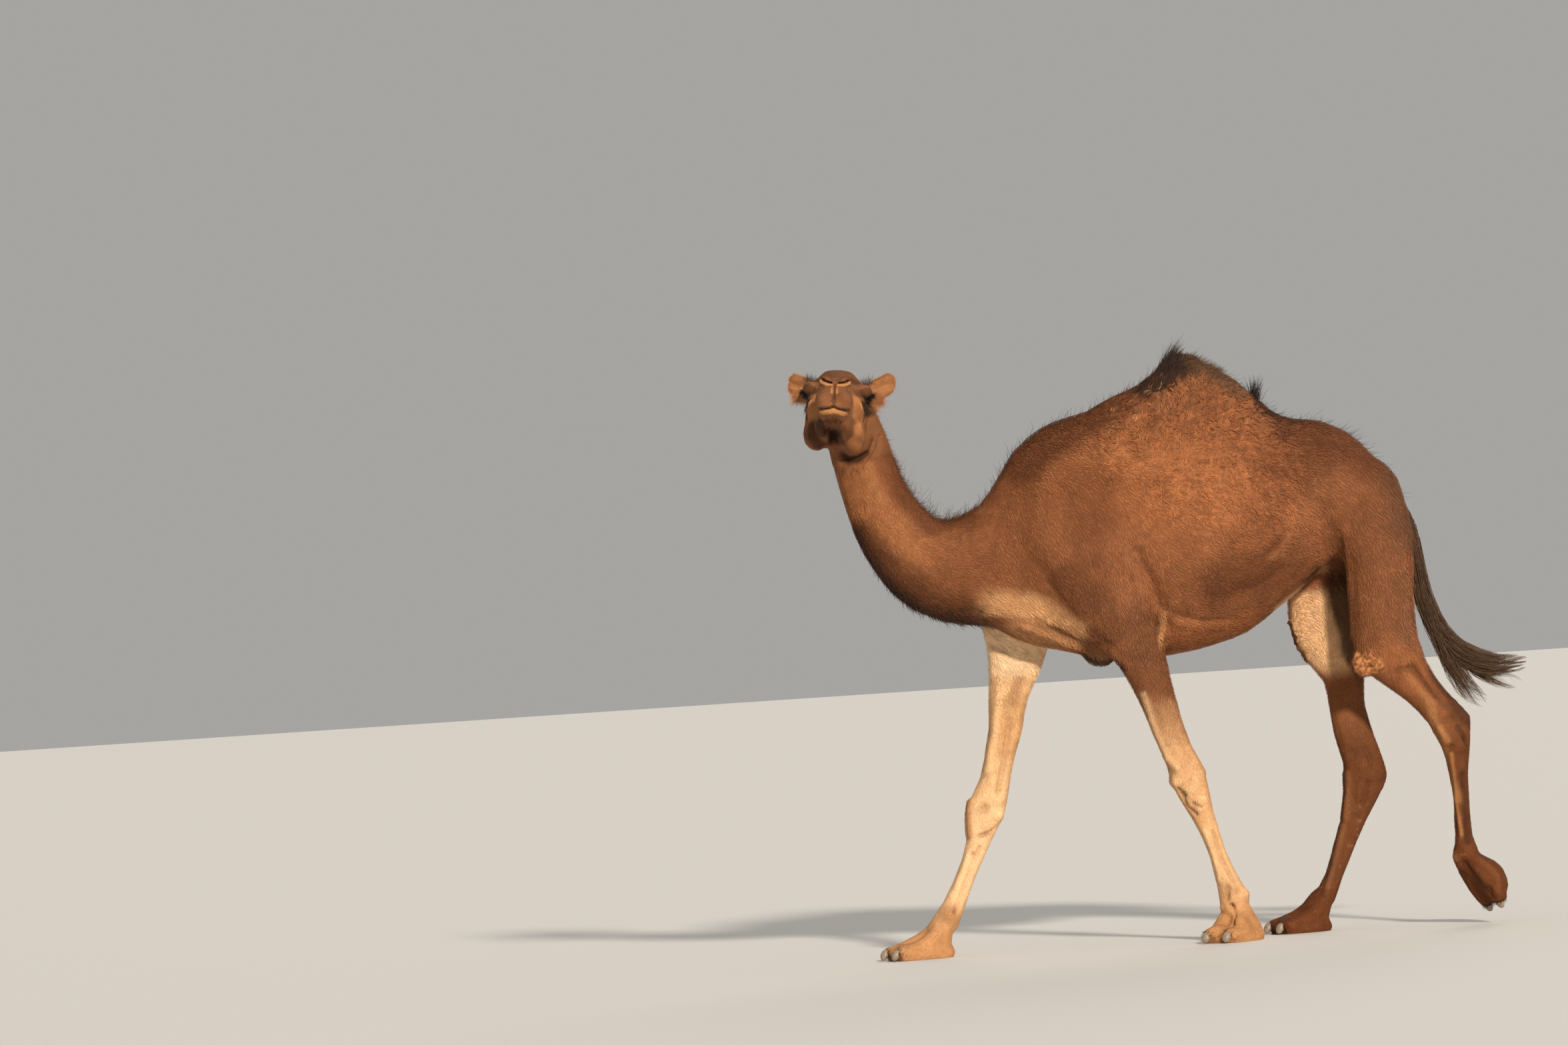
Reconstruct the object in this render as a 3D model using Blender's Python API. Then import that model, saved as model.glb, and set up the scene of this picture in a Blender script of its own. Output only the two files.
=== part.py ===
"""A life-size dromedary camel, walking, with its head turned to its left.

It faces -X and its left side faces -Y. The near hind foot is off the ground.
Every solid gives the outline out to the tips of the coat.
"""
import math

import bmesh
import bpy
import numpy as np

for old in list(bpy.data.objects):
    bpy.data.objects.remove(old)

# Driving sizes, in metres.
GAP = 0.0003
HUMP_TOP = 2.066
HUMP_X = 0.165
BARREL_HALF = 0.300
NEAR = -0.150
FAR = 0.145
PAD_HALF = 0.086
BODY_VOXEL = 0.0095
HEAD_VOXEL = 0.0050
BODY_TRIANGLES = 4100
HEAD_TRIANGLES = 1450
NECK_CUT = 1.800

# The head's own frame: forward to the lips, left, up from the line of the mouth.
HEAD_AT = np.array([-1.113, -0.175, 1.912])
HEAD_YAW = math.radians(7.0)
HEAD_PITCH = math.radians(10.0)
HEAD_ROLL = math.radians(7.1)
EYE_RADIUS = 0.0215
EYE_FORWARD = 0.012
EYE_SIDE = 0.1010
EYE_UP = 0.1060

COAT = (0.42, 0.27, 0.15, 1.0)
PALE = (0.55, 0.42, 0.28, 1.0)
DARK = (0.10, 0.07, 0.05, 1.0)
HORN = (0.50, 0.43, 0.34, 1.0)
WET = (0.02, 0.012, 0.01, 1.0)


def unit(v):
    v = np.asarray(v, float)
    return v / np.linalg.norm(v)


def head_axes():
    """Forward, left and up of the head, as rows."""
    forward = np.array([-math.sin(HEAD_YAW), -math.cos(HEAD_YAW), 0.0])
    left = np.array([math.cos(HEAD_YAW), -math.sin(HEAD_YAW), 0.0])
    up = np.array([0.0, 0.0, 1.0])
    tilted = forward * math.cos(HEAD_PITCH) + up * math.sin(HEAD_PITCH)
    up = up * math.cos(HEAD_PITCH) - forward * math.sin(HEAD_PITCH)
    rolled = left * math.cos(HEAD_ROLL) - up * math.sin(HEAD_ROLL)
    up = up * math.cos(HEAD_ROLL) + left * math.sin(HEAD_ROLL)
    return np.array([tilted, rolled, up])


AXES = head_axes()


def of_head(forward, left, up):
    """A point of the head's frame in the model's frame."""
    return HEAD_AT + np.array([forward, left, up]) @ AXES


def mesh_object(name, points, faces):
    mesh = bpy.data.meshes.new(name)
    mesh.from_pydata([tuple(p) for p in points], [], [tuple(f) for f in faces])
    mesh.update()
    obj = bpy.data.objects.new(name, mesh)
    bpy.context.scene.collection.objects.link(obj)
    return obj


def loft(rings):
    """Points and faces of a closed tube through equal rings."""
    rings = [np.asarray(r, float) for r in rings]
    count = len(rings[0])
    points = np.concatenate(rings + [rings[0].mean(0)[None], rings[-1].mean(0)[None]])
    faces = []
    for i in range(len(rings) - 1):
        for j in range(count):
            k = (j + 1) % count
            a = i * count
            b = a + count
            faces.append((a + j, a + k, b + k, b + j))
    first = len(rings) * count
    last = (len(rings) - 1) * count
    for j in range(count):
        k = (j + 1) % count
        faces.append((first, k, j))
        faces.append((first + 1, last + j, last + k))
    return points, faces


def oval(centre, side, up, half_side, half_up, power=2.0, narrow=0.0, count=28):
    """A ring with squared sides when power is over 2; narrow thins its upper part."""
    ring = []
    for j in range(count):
        t = 2 * math.pi * j / count
        c = math.cos(t)
        s = math.sin(t)
        c = math.copysign(abs(c) ** (2 / power), c)
        s = math.copysign(abs(s) ** (2 / power), s)
        s *= 1 - narrow * max(0.0, c) ** 1.5
        ring.append(centre + side * s * half_side + up * c * half_up)
    return ring


def smooth_rows(rows, steps):
    """Rows of numbers, with steps more of them between each pair, on a smooth curve."""
    rows = np.asarray(rows, float)
    out = []
    for i in range(len(rows) - 1):
        p0 = rows[max(i - 1, 0)]
        p1 = rows[i]
        p2 = rows[i + 1]
        p3 = rows[min(i + 2, len(rows) - 1)]
        for j in range(steps):
            t = j / steps
            m1 = (p2 - p0) / 2
            m2 = (p3 - p1) / 2
            h = 2 * t**3 - 3 * t**2 + 1
            out.append(
                h * p1 + (t**3 - 2 * t**2 + t) * m1 + (1 - h) * p2 + (t**3 - t**2) * m2
            )
    out.append(rows[-1])
    return np.array(out)


def column(rows, power=2.2, steps=2, count=24):
    """A limb from level sections: height, front x, rear x, centre y, half width."""
    rings = []
    for z, front, rear, y, half in smooth_rows(rows, steps):
        centre = np.array([(front + rear) / 2, y, z])
        rings.append(
            oval(
                centre, np.array([0, 1.0, 0]), np.array([1.0, 0, 0]),
                half, (rear - front) / 2, power, 0.0, count,
            )
        )
    return loft(rings)


def tube(rows, steps=3, power=2.0, count=24, side=(0, 1.0, 0)):
    """A tube along a path: x, y, z, half width, half depth."""
    rows = smooth_rows(rows, steps)
    path = rows[:, :3]
    along = np.gradient(path, axis=0)
    rings = []
    for p, d, row in zip(path, along, rows):
        d = unit(d)
        up = unit(np.cross(d, side))
        across = unit(np.cross(up, d))
        rings.append(oval(p, across, up, row[3], row[4], power, 0.0, count))
    return loft(rings)


def ball(centre, radii, axes=np.eye(3), count=20):
    """An ellipsoid with its radii along the rows of axes."""
    axes = np.asarray(axes, float)
    rings = []
    for i in range(1, count // 2):
        t = math.pi * i / (count // 2)
        c = np.asarray(centre) + axes[2] * radii[2] * math.cos(t)
        s = math.sin(t)
        rings.append(oval(c, axes[0], axes[1], radii[0] * s, radii[1] * s, 2.0, 0.0, count))
    points, faces = loft(rings)
    points[-2] = np.asarray(centre) + axes[2] * radii[2]
    points[-1] = np.asarray(centre) - axes[2] * radii[2]
    return points, faces


def joined(pieces, name):
    """One mesh of all pieces, each of them turned to face outward."""
    points = []
    faces = []
    at = 0
    for p, f in pieces:
        p = np.asarray(p)
        f = [tuple(v) for v in f]
        volume = 0.0
        for face in f:
            for k in range(1, len(face) - 1):
                volume += np.dot(p[face[0]], np.cross(p[face[k]], p[face[k + 1]]))
        if volume < 0:
            f = [face[::-1] for face in f]
        points.append(p)
        faces += [tuple(v + at for v in face) for face in f]
        at += len(p)
    return mesh_object(name, np.concatenate(points), faces)


def baked(obj):
    """Replaces the object's mesh by the one its modifiers make."""
    graph = bpy.context.evaluated_depsgraph_get()
    mesh = bpy.data.meshes.new_from_object(obj.evaluated_get(graph))
    obj.modifiers.clear()
    obj.data = mesh
    return obj


def remeshed(obj, voxel):
    modifier = obj.modifiers.new("skin", "REMESH")
    modifier.mode = "VOXEL"
    modifier.voxel_size = voxel
    modifier.adaptivity = 0.0
    return baked(obj)


def points_of(mesh):
    co = np.empty(len(mesh.vertices) * 3)
    mesh.vertices.foreach_get("co", co)
    return co.reshape(-1, 3)


def put_points(mesh, co):
    mesh.vertices.foreach_set("co", co.ravel())
    mesh.update()


def relaxed(obj, rounds, amount, steps=(0.6, -0.615)):
    """Softens the mesh; amount gives each point's share. The default steps don't shrink it."""
    mesh = obj.data
    co = points_of(mesh)
    ends = np.empty(len(mesh.edges) * 2, int)
    mesh.edges.foreach_get("vertices", ends)
    a, b = ends.reshape(-1, 2).T
    count = np.bincount(ends, minlength=len(co))[:, None].clip(1)
    share = amount(co)[:, None]
    for i in range(rounds):
        for step in steps:
            total = np.zeros_like(co)
            for k in range(3):
                total[:, k] = np.bincount(a, co[b, k], len(co)) + np.bincount(b, co[a, k], len(co))
            co = co + step * share * (total / count - co)
    put_points(mesh, co)
    return obj


def thinned(obj, triangles):
    obj.modifiers.new("faces", "TRIANGULATE")
    baked(obj)
    modifier = obj.modifiers.new("fewer", "DECIMATE")
    modifier.decimate_type = "COLLAPSE"
    obj.data.calc_loop_triangles()
    modifier.ratio = triangles / len(obj.data.loop_triangles)
    return baked(obj)


def halves(obj, point, normal, below, above):
    """Cuts the object by a plane, leaving a gap, and gives back the two closed pieces."""
    made = []
    normal = unit(normal)
    for name, sign in ((below, -1), (above, 1)):
        bm = bmesh.new()
        bm.from_mesh(obj.data)
        at = np.asarray(point) + normal * sign * GAP / 2
        geometry = bm.verts[:] + bm.edges[:] + bm.faces[:]
        cut = bmesh.ops.bisect_plane(
            bm,
            geom=geometry,
            dist=1e-6,
            plane_co=tuple(at),
            plane_no=tuple(normal * -sign),
            clear_outer=True,
        )
        rim = [e for e in cut["geom_cut"] if isinstance(e, bmesh.types.BMEdge)]
        bmesh.ops.holes_fill(bm, edges=rim, sides=0)
        bmesh.ops.triangulate(bm, faces=[f for f in bm.faces if len(f.verts) > 4])
        mesh = bpy.data.meshes.new(name)
        bm.to_mesh(mesh)
        bm.free()
        piece = bpy.data.objects.new("piece", mesh)
        bpy.context.scene.collection.objects.link(piece)
        made.append(piece)
    bpy.data.objects.remove(obj)
    for piece, name in zip(made, (below, above)):
        piece.name = name
    return made


def islands(obj):
    """The object's separate bodies, largest first, as objects."""
    mesh = obj.data
    count = len(mesh.vertices)
    label = np.arange(count)
    ends = np.empty(len(mesh.edges) * 2, int)
    mesh.edges.foreach_get("vertices", ends)
    a, b = ends.reshape(-1, 2).T
    while True:
        low = label.copy()
        np.minimum.at(low, a, label[b])
        np.minimum.at(low, b, label[a])
        low = low[low]
        if (low == label).all():
            break
        label = low
    co = points_of(mesh)
    found = []
    for value in np.unique(label):
        index = -np.ones(count, int)
        mine = np.flatnonzero(label == value)
        index[mine] = np.arange(len(mine))
        faces = [
            tuple(index[list(p.vertices)]) for p in mesh.polygons if label[p.vertices[0]] == value
        ]
        found.append(mesh_object("piece", co[mine], faces))
    name = obj.name
    bpy.data.objects.remove(obj)
    found = sorted(found, key=lambda o: -len(o.data.vertices))
    found[0].name = name
    return found


def helper(obj):
    obj.hide_render = True
    obj.display_type = "WIRE"
    return obj


def swollen(obj, by):
    """A copy of the object, grown along its normals, to cut with."""
    mesh = obj.data.copy()
    co = points_of(mesh)
    normal = np.empty(len(co) * 3)
    mesh.vertices.foreach_get("normal", normal)
    put_points(mesh, co + normal.reshape(-1, 3) * by)
    copy = bpy.data.objects.new(obj.name + "_cutter", mesh)
    bpy.context.scene.collection.objects.link(copy)
    return helper(copy)


def less(obj, cutter, keep=None):
    """The object without the cutter; keep picks the body that is farthest that way."""
    name = obj.name
    modifier = obj.modifiers.new("cut", "BOOLEAN")
    modifier.operation = "DIFFERENCE"
    modifier.solver = "EXACT"
    modifier.object = cutter
    baked(obj)
    pieces = islands(obj)
    if keep is not None:
        pieces = sorted(pieces, key=lambda o: -np.dot(points_of(o.data).mean(0), keep))
    for extra in pieces[1:]:
        bpy.data.objects.remove(extra)
    pieces[0].name = name
    return pieces[0]


# ---------------------------------------------------------------- trunk and hump
TRUNK = (
    # x, top, bottom, half width, how much the back narrows
    (-0.620, 1.580, 1.230, 0.120, 0.10),
    (-0.560, 1.650, 1.150, 0.155, 0.20),
    (-0.460, 1.800, 1.095, 0.185, 0.35),
    (-0.360, 1.876, 1.070, 0.205, 0.45),
    (-0.240, 1.912, 1.040, 0.230, 0.50),
    (-0.100, 1.930, 1.022, 0.262, 0.50),
    (0.050, 1.935, 1.022, BARREL_HALF - 0.012, 0.50),
    (0.200, 1.935, 1.045, BARREL_HALF, 0.50),
    (0.340, 1.915, 1.088, BARREL_HALF - 0.005, 0.45),
    (0.450, 1.875, 1.160, BARREL_HALF - 0.020, 0.40),
    (0.560, 1.848, 1.245, 0.258, 0.40),
    (0.650, 1.835, 1.320, 0.240, 0.40),
    (0.750, 1.785, 1.370, 0.215, 0.35),
    (0.840, 1.690, 1.350, 0.180, 0.25),
    (0.905, 1.575, 1.330, 0.130, 0.10),
    (0.935, 1.480, 1.360, 0.060, 0.00),
)
HUMP = (
    # height, front x, rear x, centre y, half width
    (1.700, -0.260, 0.540, 0.0, 0.190),
    (1.800, -0.290, 0.540, 0.0, 0.185),
    (1.880, -0.250, 0.480, 0.0, 0.155),
    (1.940, -0.150, 0.420, 0.0, 0.125),
    (1.990, -0.022, 0.366, 0.0, 0.095),
    (2.030, 0.045, 0.304, 0.0, 0.068),
    (2.055, 0.095, 0.247, 0.0, 0.042),
    (HUMP_TOP, HUMP_X - 0.035, HUMP_X + 0.035, 0.0, 0.020),
)


def trunk():
    rings = []
    for x, top, bottom, half, narrow in smooth_rows(TRUNK, 2):
        centre = np.array([x, 0.0, (top + bottom) / 2])
        rings.append(
            oval(
                centre, np.array([0, 1.0, 0]), np.array([0, 0, 1.0]),
                half, (top - bottom) / 2, 2.15, narrow, 40,
            )
        )
    return loft(rings)


# ---------------------------------------------------------------- neck
NECK = (
    # x, y, z, half width, half depth
    (-0.440, 0.000, 1.420, 0.165, 0.230),
    (-0.550, 0.000, 1.393, 0.152, 0.215),
    (-0.660, -0.003, 1.374, 0.138, 0.202),
    (-0.762, -0.010, 1.392, 0.122, 0.178),
    (-0.853, -0.020, 1.453, 0.108, 0.154),
    (-0.926, -0.032, 1.553, 0.097, 0.134),
    (-0.972, -0.046, 1.660, 0.092, 0.120),
    (-1.003, -0.066, 1.760, 0.091, 0.113),
    (-1.030, -0.098, 1.855, 0.090, 0.105),
    (-1.060, -0.130, 1.935, 0.088, 0.098),
    (-1.085, -0.155, 1.995, 0.060, 0.066),
)

# ---------------------------------------------------------------- legs
# Each row: height, front x, rear x, centre y, half width.
NEAR_FORE = (
    (1.760, -0.400, -0.260, NEAR + 0.050, 0.030),
    (1.640, -0.450, -0.205, NEAR + 0.020, 0.070),
    (1.500, -0.480, -0.140, NEAR - 0.002, 0.088),
    (1.380, -0.470, -0.100, NEAR - 0.012, 0.094),
    (1.280, -0.425, -0.075, NEAR - 0.014, 0.090),
    (1.190, -0.350, -0.030, NEAR - 0.012, 0.080),
    (1.110, -0.262, 0.006, NEAR - 0.008, 0.070),
    (1.000, -0.160, 0.022, NEAR, 0.060),
    (0.910, -0.110, 0.038, NEAR, 0.055),
    (0.810, -0.067, 0.056, NEAR, 0.051),
    (0.707, -0.027, 0.086, NEAR, 0.048),
    (0.610, 0.000, 0.128, NEAR, 0.053),
    (0.538, 0.020, 0.141, NEAR, 0.055),
    (0.470, 0.056, 0.150, NEAR, 0.046),
    (0.400, 0.093, 0.165, NEAR, 0.039),
    (0.320, 0.122, 0.188, NEAR, 0.037),
    (0.240, 0.142, 0.220, NEAR, 0.042),
    (0.165, 0.150, 0.254, NEAR, 0.052),
    (0.120, 0.152, 0.256, NEAR, 0.050),
    (0.095, 0.160, 0.250, NEAR, 0.040),
)
FAR_FORE = (
    (1.760, -0.420, -0.280, FAR - 0.050, 0.030),
    (1.640, -0.490, -0.240, FAR - 0.025, 0.070),
    (1.500, -0.540, -0.230, FAR - 0.010, 0.088),
    (1.380, -0.575, -0.240, FAR, 0.092),
    (1.280, -0.595, -0.270, FAR, 0.086),
    (1.180, -0.605, -0.310, FAR, 0.076),
    (1.090, -0.590, -0.350, FAR, 0.066),
    (1.000, -0.585, -0.390, FAR, 0.060),
    (0.900, -0.590, -0.443, FAR, 0.055),
    (0.800, -0.598, -0.470, FAR, 0.050),
    (0.700, -0.615, -0.503, FAR, 0.047),
    (0.620, -0.642, -0.526, FAR, 0.050),
    (0.550, -0.682, -0.541, FAR, 0.054),
    (0.470, -0.700, -0.568, FAR, 0.048),
    (0.400, -0.704, -0.608, FAR, 0.041),
    (0.320, -0.733, -0.651, FAR, 0.038),
    (0.240, -0.773, -0.691, FAR, 0.040),
    (0.170, -0.818, -0.722, FAR, 0.048),
    (0.120, -0.856, -0.742, FAR, 0.050),
    (0.095, -0.860, -0.752, FAR, 0.040),
)
FAR_HIND = (
    (1.680, 0.640, 0.860, FAR - 0.045, 0.060),
    (1.560, 0.590, 0.905, FAR - 0.015, 0.095),
    (1.420, 0.560, 0.925, FAR + 0.000, 0.104),
    (1.300, 0.530, 0.910, FAR + 0.005, 0.100),
    (1.180, 0.506, 0.870, FAR + 0.005, 0.092),
    (1.080, 0.514, 0.830, FAR + 0.003, 0.080),
    (0.985, 0.555, 0.795, FAR, 0.068),
    (0.890, 0.628, 0.780, FAR, 0.057),
    (0.800, 0.642, 0.776, FAR, 0.051),
    (0.700, 0.655, 0.798, FAR, 0.048),
    (0.610, 0.676, 0.828, FAR, 0.050),
    (0.540, 0.681, 0.840, FAR, 0.051),
    (0.470, 0.674, 0.806, FAR, 0.045),
    (0.390, 0.657, 0.757, FAR, 0.039),
    (0.300, 0.627, 0.707, FAR, 0.037),
    (0.220, 0.598, 0.670, FAR, 0.042),
    (0.160, 0.566, 0.640, FAR, 0.050),
    (0.120, 0.536, 0.624, FAR, 0.050),
    (0.095, 0.530, 0.616, FAR, 0.040),
)
NEAR_HIND = (
    (1.680, 0.640, 0.860, NEAR + 0.050, 0.060),
    (1.560, 0.620, 0.910, NEAR + 0.018, 0.095),
    (1.420, 0.655, 0.932, NEAR - 0.002, 0.104),
    (1.300, 0.678, 0.930, NEAR - 0.008, 0.100),
    (1.180, 0.684, 0.924, NEAR - 0.010, 0.092),
    (1.060, 0.685, 0.926, NEAR - 0.008, 0.082),
    (0.975, 0.696, 0.944, NEAR - 0.004, 0.072),
    (0.915, 0.734, 0.970, NEAR, 0.063),
    (0.860, 0.806, 1.002, NEAR, 0.056),
    (0.800, 0.878, 1.048, NEAR, 0.051),
    (0.740, 0.930, 1.095, NEAR, 0.050),
    (0.690, 0.962, 1.096, NEAR, 0.050),
    (0.630, 0.988, 1.088, NEAR, 0.045),
    (0.550, 1.008, 1.076, NEAR, 0.039),
    (0.450, 1.019, 1.075, NEAR, 0.036),
    (0.350, 1.016, 1.076, NEAR, 0.038),
    (0.290, 1.010, 1.085, NEAR, 0.044),
    (0.245, 1.005, 1.100, NEAR, 0.050),
)


# Planted feet: middle x and y of the pad, how far it turns to the camel's left in
# degrees, half length, then x and y of the fetlock above it.
PLANTED = {
    "fore_left": (0.198, NEAR - 0.020, 46, 0.120, 0.204, NEAR),
    "fore_right": (-0.890, FAR - 0.018, 20, 0.124, -0.800, FAR),
    "hind_right": (0.488, FAR - 0.015, 20, 0.112, 0.578, FAR),
}
TOE_APART = 0.044


def foot_frame(which):
    """Middle of the pad, then forward, left and up of the foot."""
    x, y, turn, half, ankle_x, ankle_y = PLANTED[which]
    turn = math.radians(turn)
    forward = np.array([-math.cos(turn), -math.sin(turn), 0.0])
    left = np.array([math.sin(turn), -math.cos(turn), 0.0])
    return np.array([x, y, 0.0]), forward, left, half


def planted_foot(which):
    """A standing foot: a broad pad, a heel cushion and two toes from the fetlock down."""
    middle, forward, left, half = foot_frame(which)
    ankle = np.array([PLANTED[which][4], PLANTED[which][5], 0.135])
    up = np.array([0, 0, 1.0])
    rings = []
    for z, share in ((-0.012, 0.92), (0.006, 0.985), (0.022, 1.0), (0.040, 0.93), (0.056, 0.74)):
        rings.append(
            oval(middle + up * z - forward * 0.004, left, forward, PAD_HALF * share, half * share, 2.35)
        )
    pieces = [loft(rings)]
    heel = middle - forward * (half - 0.064) + up * 0.040
    pieces.append(ball(heel, (0.056, 0.072, 0.046), (forward, left, up)))
    hock = ankle + (heel - ankle) * 0.5 + up * 0.004
    rows = (tuple(ankle) + (0.046, 0.030), tuple(hock) + (0.058, 0.048), tuple(heel) + (0.062, 0.054))
    pieces.append(tube(rows, 3, 2.0, 20, tuple(left)))
    for side in (-1, 1):
        out = left * side * TOE_APART
        tip = middle + forward * (half - 0.026) + out + up * 0.026
        knuckle = middle + forward * (half - 0.070) + out * 0.95 + up * 0.030
        root = ankle + out * 0.42 - forward * 0.022 - up * 0.004
        bend = root * 0.42 + knuckle * 0.58 + out * 0.10
        bend[2] = 0.056
        rows = []
        for point, wide, deep in (
            (root, 0.027, 0.024),
            (bend, 0.034, 0.036),
            (knuckle, 0.037, 0.033),
            (tip, 0.034, 0.029),
            (tip + forward * 0.018 - up * 0.006, 0.022, 0.018),
        ):
            rows.append(tuple(point) + (wide, deep))
        pieces.append(tube(rows, 2, 2.0, 16, tuple(left)))
    return pieces


# The raised hind foot hangs from the fetlock with its sole turned to the rear.
RAISED_AT = np.array([1.050, NEAR, 0.262])
RAISED_DOWN = unit((0.46, 0.0, -0.89))
ACROSS = unit((-0.30, 0.94, -0.155))
RAISED_SOLE = np.cross(ACROSS, RAISED_DOWN)
RAISED_SOLE = RAISED_SOLE * np.sign(RAISED_SOLE[0])


def raised_point(down, across, sole):
    return RAISED_AT + RAISED_DOWN * down + ACROSS * across + RAISED_SOLE * sole


def raised_foot():
    rings = []
    rows = (
        # down the foot, middle toward the sole, half width, half thickness
        (-0.030, 0.000, 0.044, 0.038),
        (0.030, -0.006, 0.046, 0.044),
        (0.065, 0.006, 0.060, 0.054),
        (0.105, 0.020, 0.076, 0.056),
        (0.150, 0.024, 0.080, 0.048),
        (0.185, 0.020, 0.068, 0.036),
        (0.205, 0.016, 0.040, 0.020),
    )
    for down, sole, half, thick in smooth_rows(rows, 2):
        centre = raised_point(down, 0.0, sole)
        rings.append(oval(centre, ACROSS, RAISED_SOLE, half, thick, 2.2, 0.0, 24))
    pieces = [loft(rings)]
    for side in (-1, 1):
        rows = []
        for down, out, sole, wide, deep in (
            (0.000, 0.018, -0.010, 0.030, 0.034),
            (0.060, 0.030, -0.014, 0.036, 0.038),
            (0.120, 0.041, -0.004, 0.040, 0.042),
            (0.180, 0.043, -0.001, 0.037, 0.039),
            (0.215, 0.042, -0.003, 0.024, 0.025),
        ):
            rows.append(tuple(raised_point(down, side * out, sole)) + (wide, deep))
        pieces.append(tube(rows, 2, 2.0, 16, tuple(ACROSS)))
    return pieces


# ---------------------------------------------------------------- tail
TAIL = (
    (0.870, 0.002, 1.580, 0.026, 0.022),
    (0.912, 0.002, 1.515, 0.032, 0.028),
    (0.944, 0.000, 1.430, 0.032, 0.030),
    (0.968, -0.004, 1.300, 0.029, 0.027),
    (0.986, -0.008, 1.190, 0.028, 0.028),
    (1.010, -0.012, 1.110, 0.032, 0.033),
    (1.058, -0.016, 1.040, 0.040, 0.042),
    (1.112, -0.020, 0.978, 0.046, 0.052),
    (1.176, -0.024, 0.928, 0.044, 0.056),
    (1.240, -0.028, 0.896, 0.034, 0.046),
    (1.292, -0.030, 0.880, 0.018, 0.024),
)
WISP = (
    (1.030, -0.014, 1.060, 0.020, 0.022),
    (1.062, -0.016, 0.980, 0.026, 0.030),
    (1.098, -0.018, 0.900, 0.024, 0.030),
    (1.150, -0.020, 0.832, 0.018, 0.024),
    (1.200, -0.022, 0.792, 0.008, 0.012),
)

# ---------------------------------------------------------------- head
HEAD = (
    # forward, half width, top, bottom
    (-0.150, 0.055, 0.130, 0.010),
    (-0.115, 0.080, 0.172, -0.040),
    (-0.075, 0.092, 0.198, -0.068),
    (-0.035, 0.094, 0.206, -0.078),
    (0.005, 0.090, 0.198, -0.080),
    (0.045, 0.082, 0.180, -0.076),
    (0.085, 0.072, 0.160, -0.066),
    (0.125, 0.064, 0.146, -0.056),
    (0.170, 0.057, 0.135, -0.049),
    (0.215, 0.055, 0.127, -0.046),
    (0.260, 0.058, 0.121, -0.045),
    (0.300, 0.061, 0.116, -0.045),
    (0.335, 0.058, 0.104, -0.042),
    (0.357, 0.046, 0.082, -0.034),
    (0.368, 0.026, 0.052, -0.014),
)
LUMPS = (
    # forward, side, up, then the three radii: forehead, brow, cheek bone, cheek,
    # jaw lobe, jaw, nostril wing, upper lip
    (-0.040, 0.028, 0.138, 0.080, 0.070, 0.070),
    (-0.002, 0.084, 0.120, 0.060, 0.044, 0.037),
    (0.040, 0.064, 0.052, 0.100, 0.042, 0.060),
    (0.000, 0.070, 0.015, 0.090, 0.038, 0.062),
    (-0.014, 0.061, -0.018, 0.098, 0.049, 0.066),
    (0.120, 0.038, -0.030, 0.140, 0.028, 0.032),
    (0.316, 0.031, 0.084, 0.042, 0.028, 0.031),
    (0.322, 0.033, 0.026, 0.052, 0.036, 0.044),
)


def head_pieces():
    rings = []
    for forward, half, top, bottom in smooth_rows(HEAD, 2):
        middle = of_head(forward, 0.0, (top + bottom) / 2)
        rings.append(oval(middle, AXES[1], AXES[2], half, (top - bottom) / 2, 2.25, 0.05, 32))
    pieces = [loft(rings)]
    for forward, side, up, *radii in LUMPS:
        pieces.append(ball(of_head(forward, side, up), radii, AXES))
        pieces.append(ball(of_head(forward, -side, up), radii, AXES))
    # Lower lip with its beard.
    pieces.append(ball(of_head(0.312, 0.0, -0.024), (0.046, 0.050, 0.032), AXES))
    return pieces


EAR = (
    # along the ear, half width, half thickness
    (-0.020, 0.024, 0.022),
    (0.020, 0.029, 0.024),
    (0.055, 0.033, 0.020),
    (0.085, 0.029, 0.015),
    (0.106, 0.018, 0.010),
    (0.116, 0.007, 0.006),
)


def ear(side):
    """The right ear is laid back a little more than the left."""
    root = of_head(-0.066, side * 0.088 + 0.004, 0.138)
    out = unit(np.array([-0.24 + 0.12 * side, side * 0.92, 0.27]) @ AXES)
    face = unit(np.array([0.85, side * 0.25, 0.10]) @ AXES)
    wide = unit(np.cross(out, face))
    face = np.cross(wide, out)
    rings = []
    for at, half, thick in EAR:
        rings.append(oval(root + out * at, wide, face, half, thick, 2.0, 0.0, 12))
    return loft(rings)


def nail(at, forward, across, up):
    """A blunt nail lying on the end of a toe."""
    return ball(at + forward * 0.004, (0.019, 0.024, 0.014), (across, forward, up), 8)


# ---------------------------------------------------------------- build
body = [trunk(), column(HUMP, 2.0, 3, 32), tube(NECK, 3, 2.1, 28)]
body += [column(NEAR_FORE), column(FAR_FORE), column(FAR_HIND), column(NEAR_HIND)]
for which in PLANTED:
    body += planted_foot(which)
body += raised_foot()
body.append(ball((-0.195, 0.0, 1.060), (0.070, 0.085, 0.060)))
body.append(ball((0.720, NEAR - 0.012, 0.958), (0.045, 0.040, 0.062)))
# Withers, points of the hips and the buttocks.
body.append(ball((-0.240, 0.0, 1.810), (0.150, 0.070, 0.092)))
# Long hair standing on the crest of the hump.
body.append(ball((HUMP_X, 0.0, HUMP_TOP - 0.012), (0.082, 0.024, 0.048)))
for side in (-1, 1):
    body.append(ball((0.620, side * 0.150, 1.640), (0.120, 0.080, 0.110)))
    body.append(ball((0.860, side * 0.080, 1.480), (0.075, 0.075, 0.130)))
body = joined(body, "body")
remeshed(body, BODY_VOXEL)


def ramp(value, low, high):
    t = np.clip((value - low) / (high - low), 0, 1)
    return t * t * (3 - 2 * t)


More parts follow.
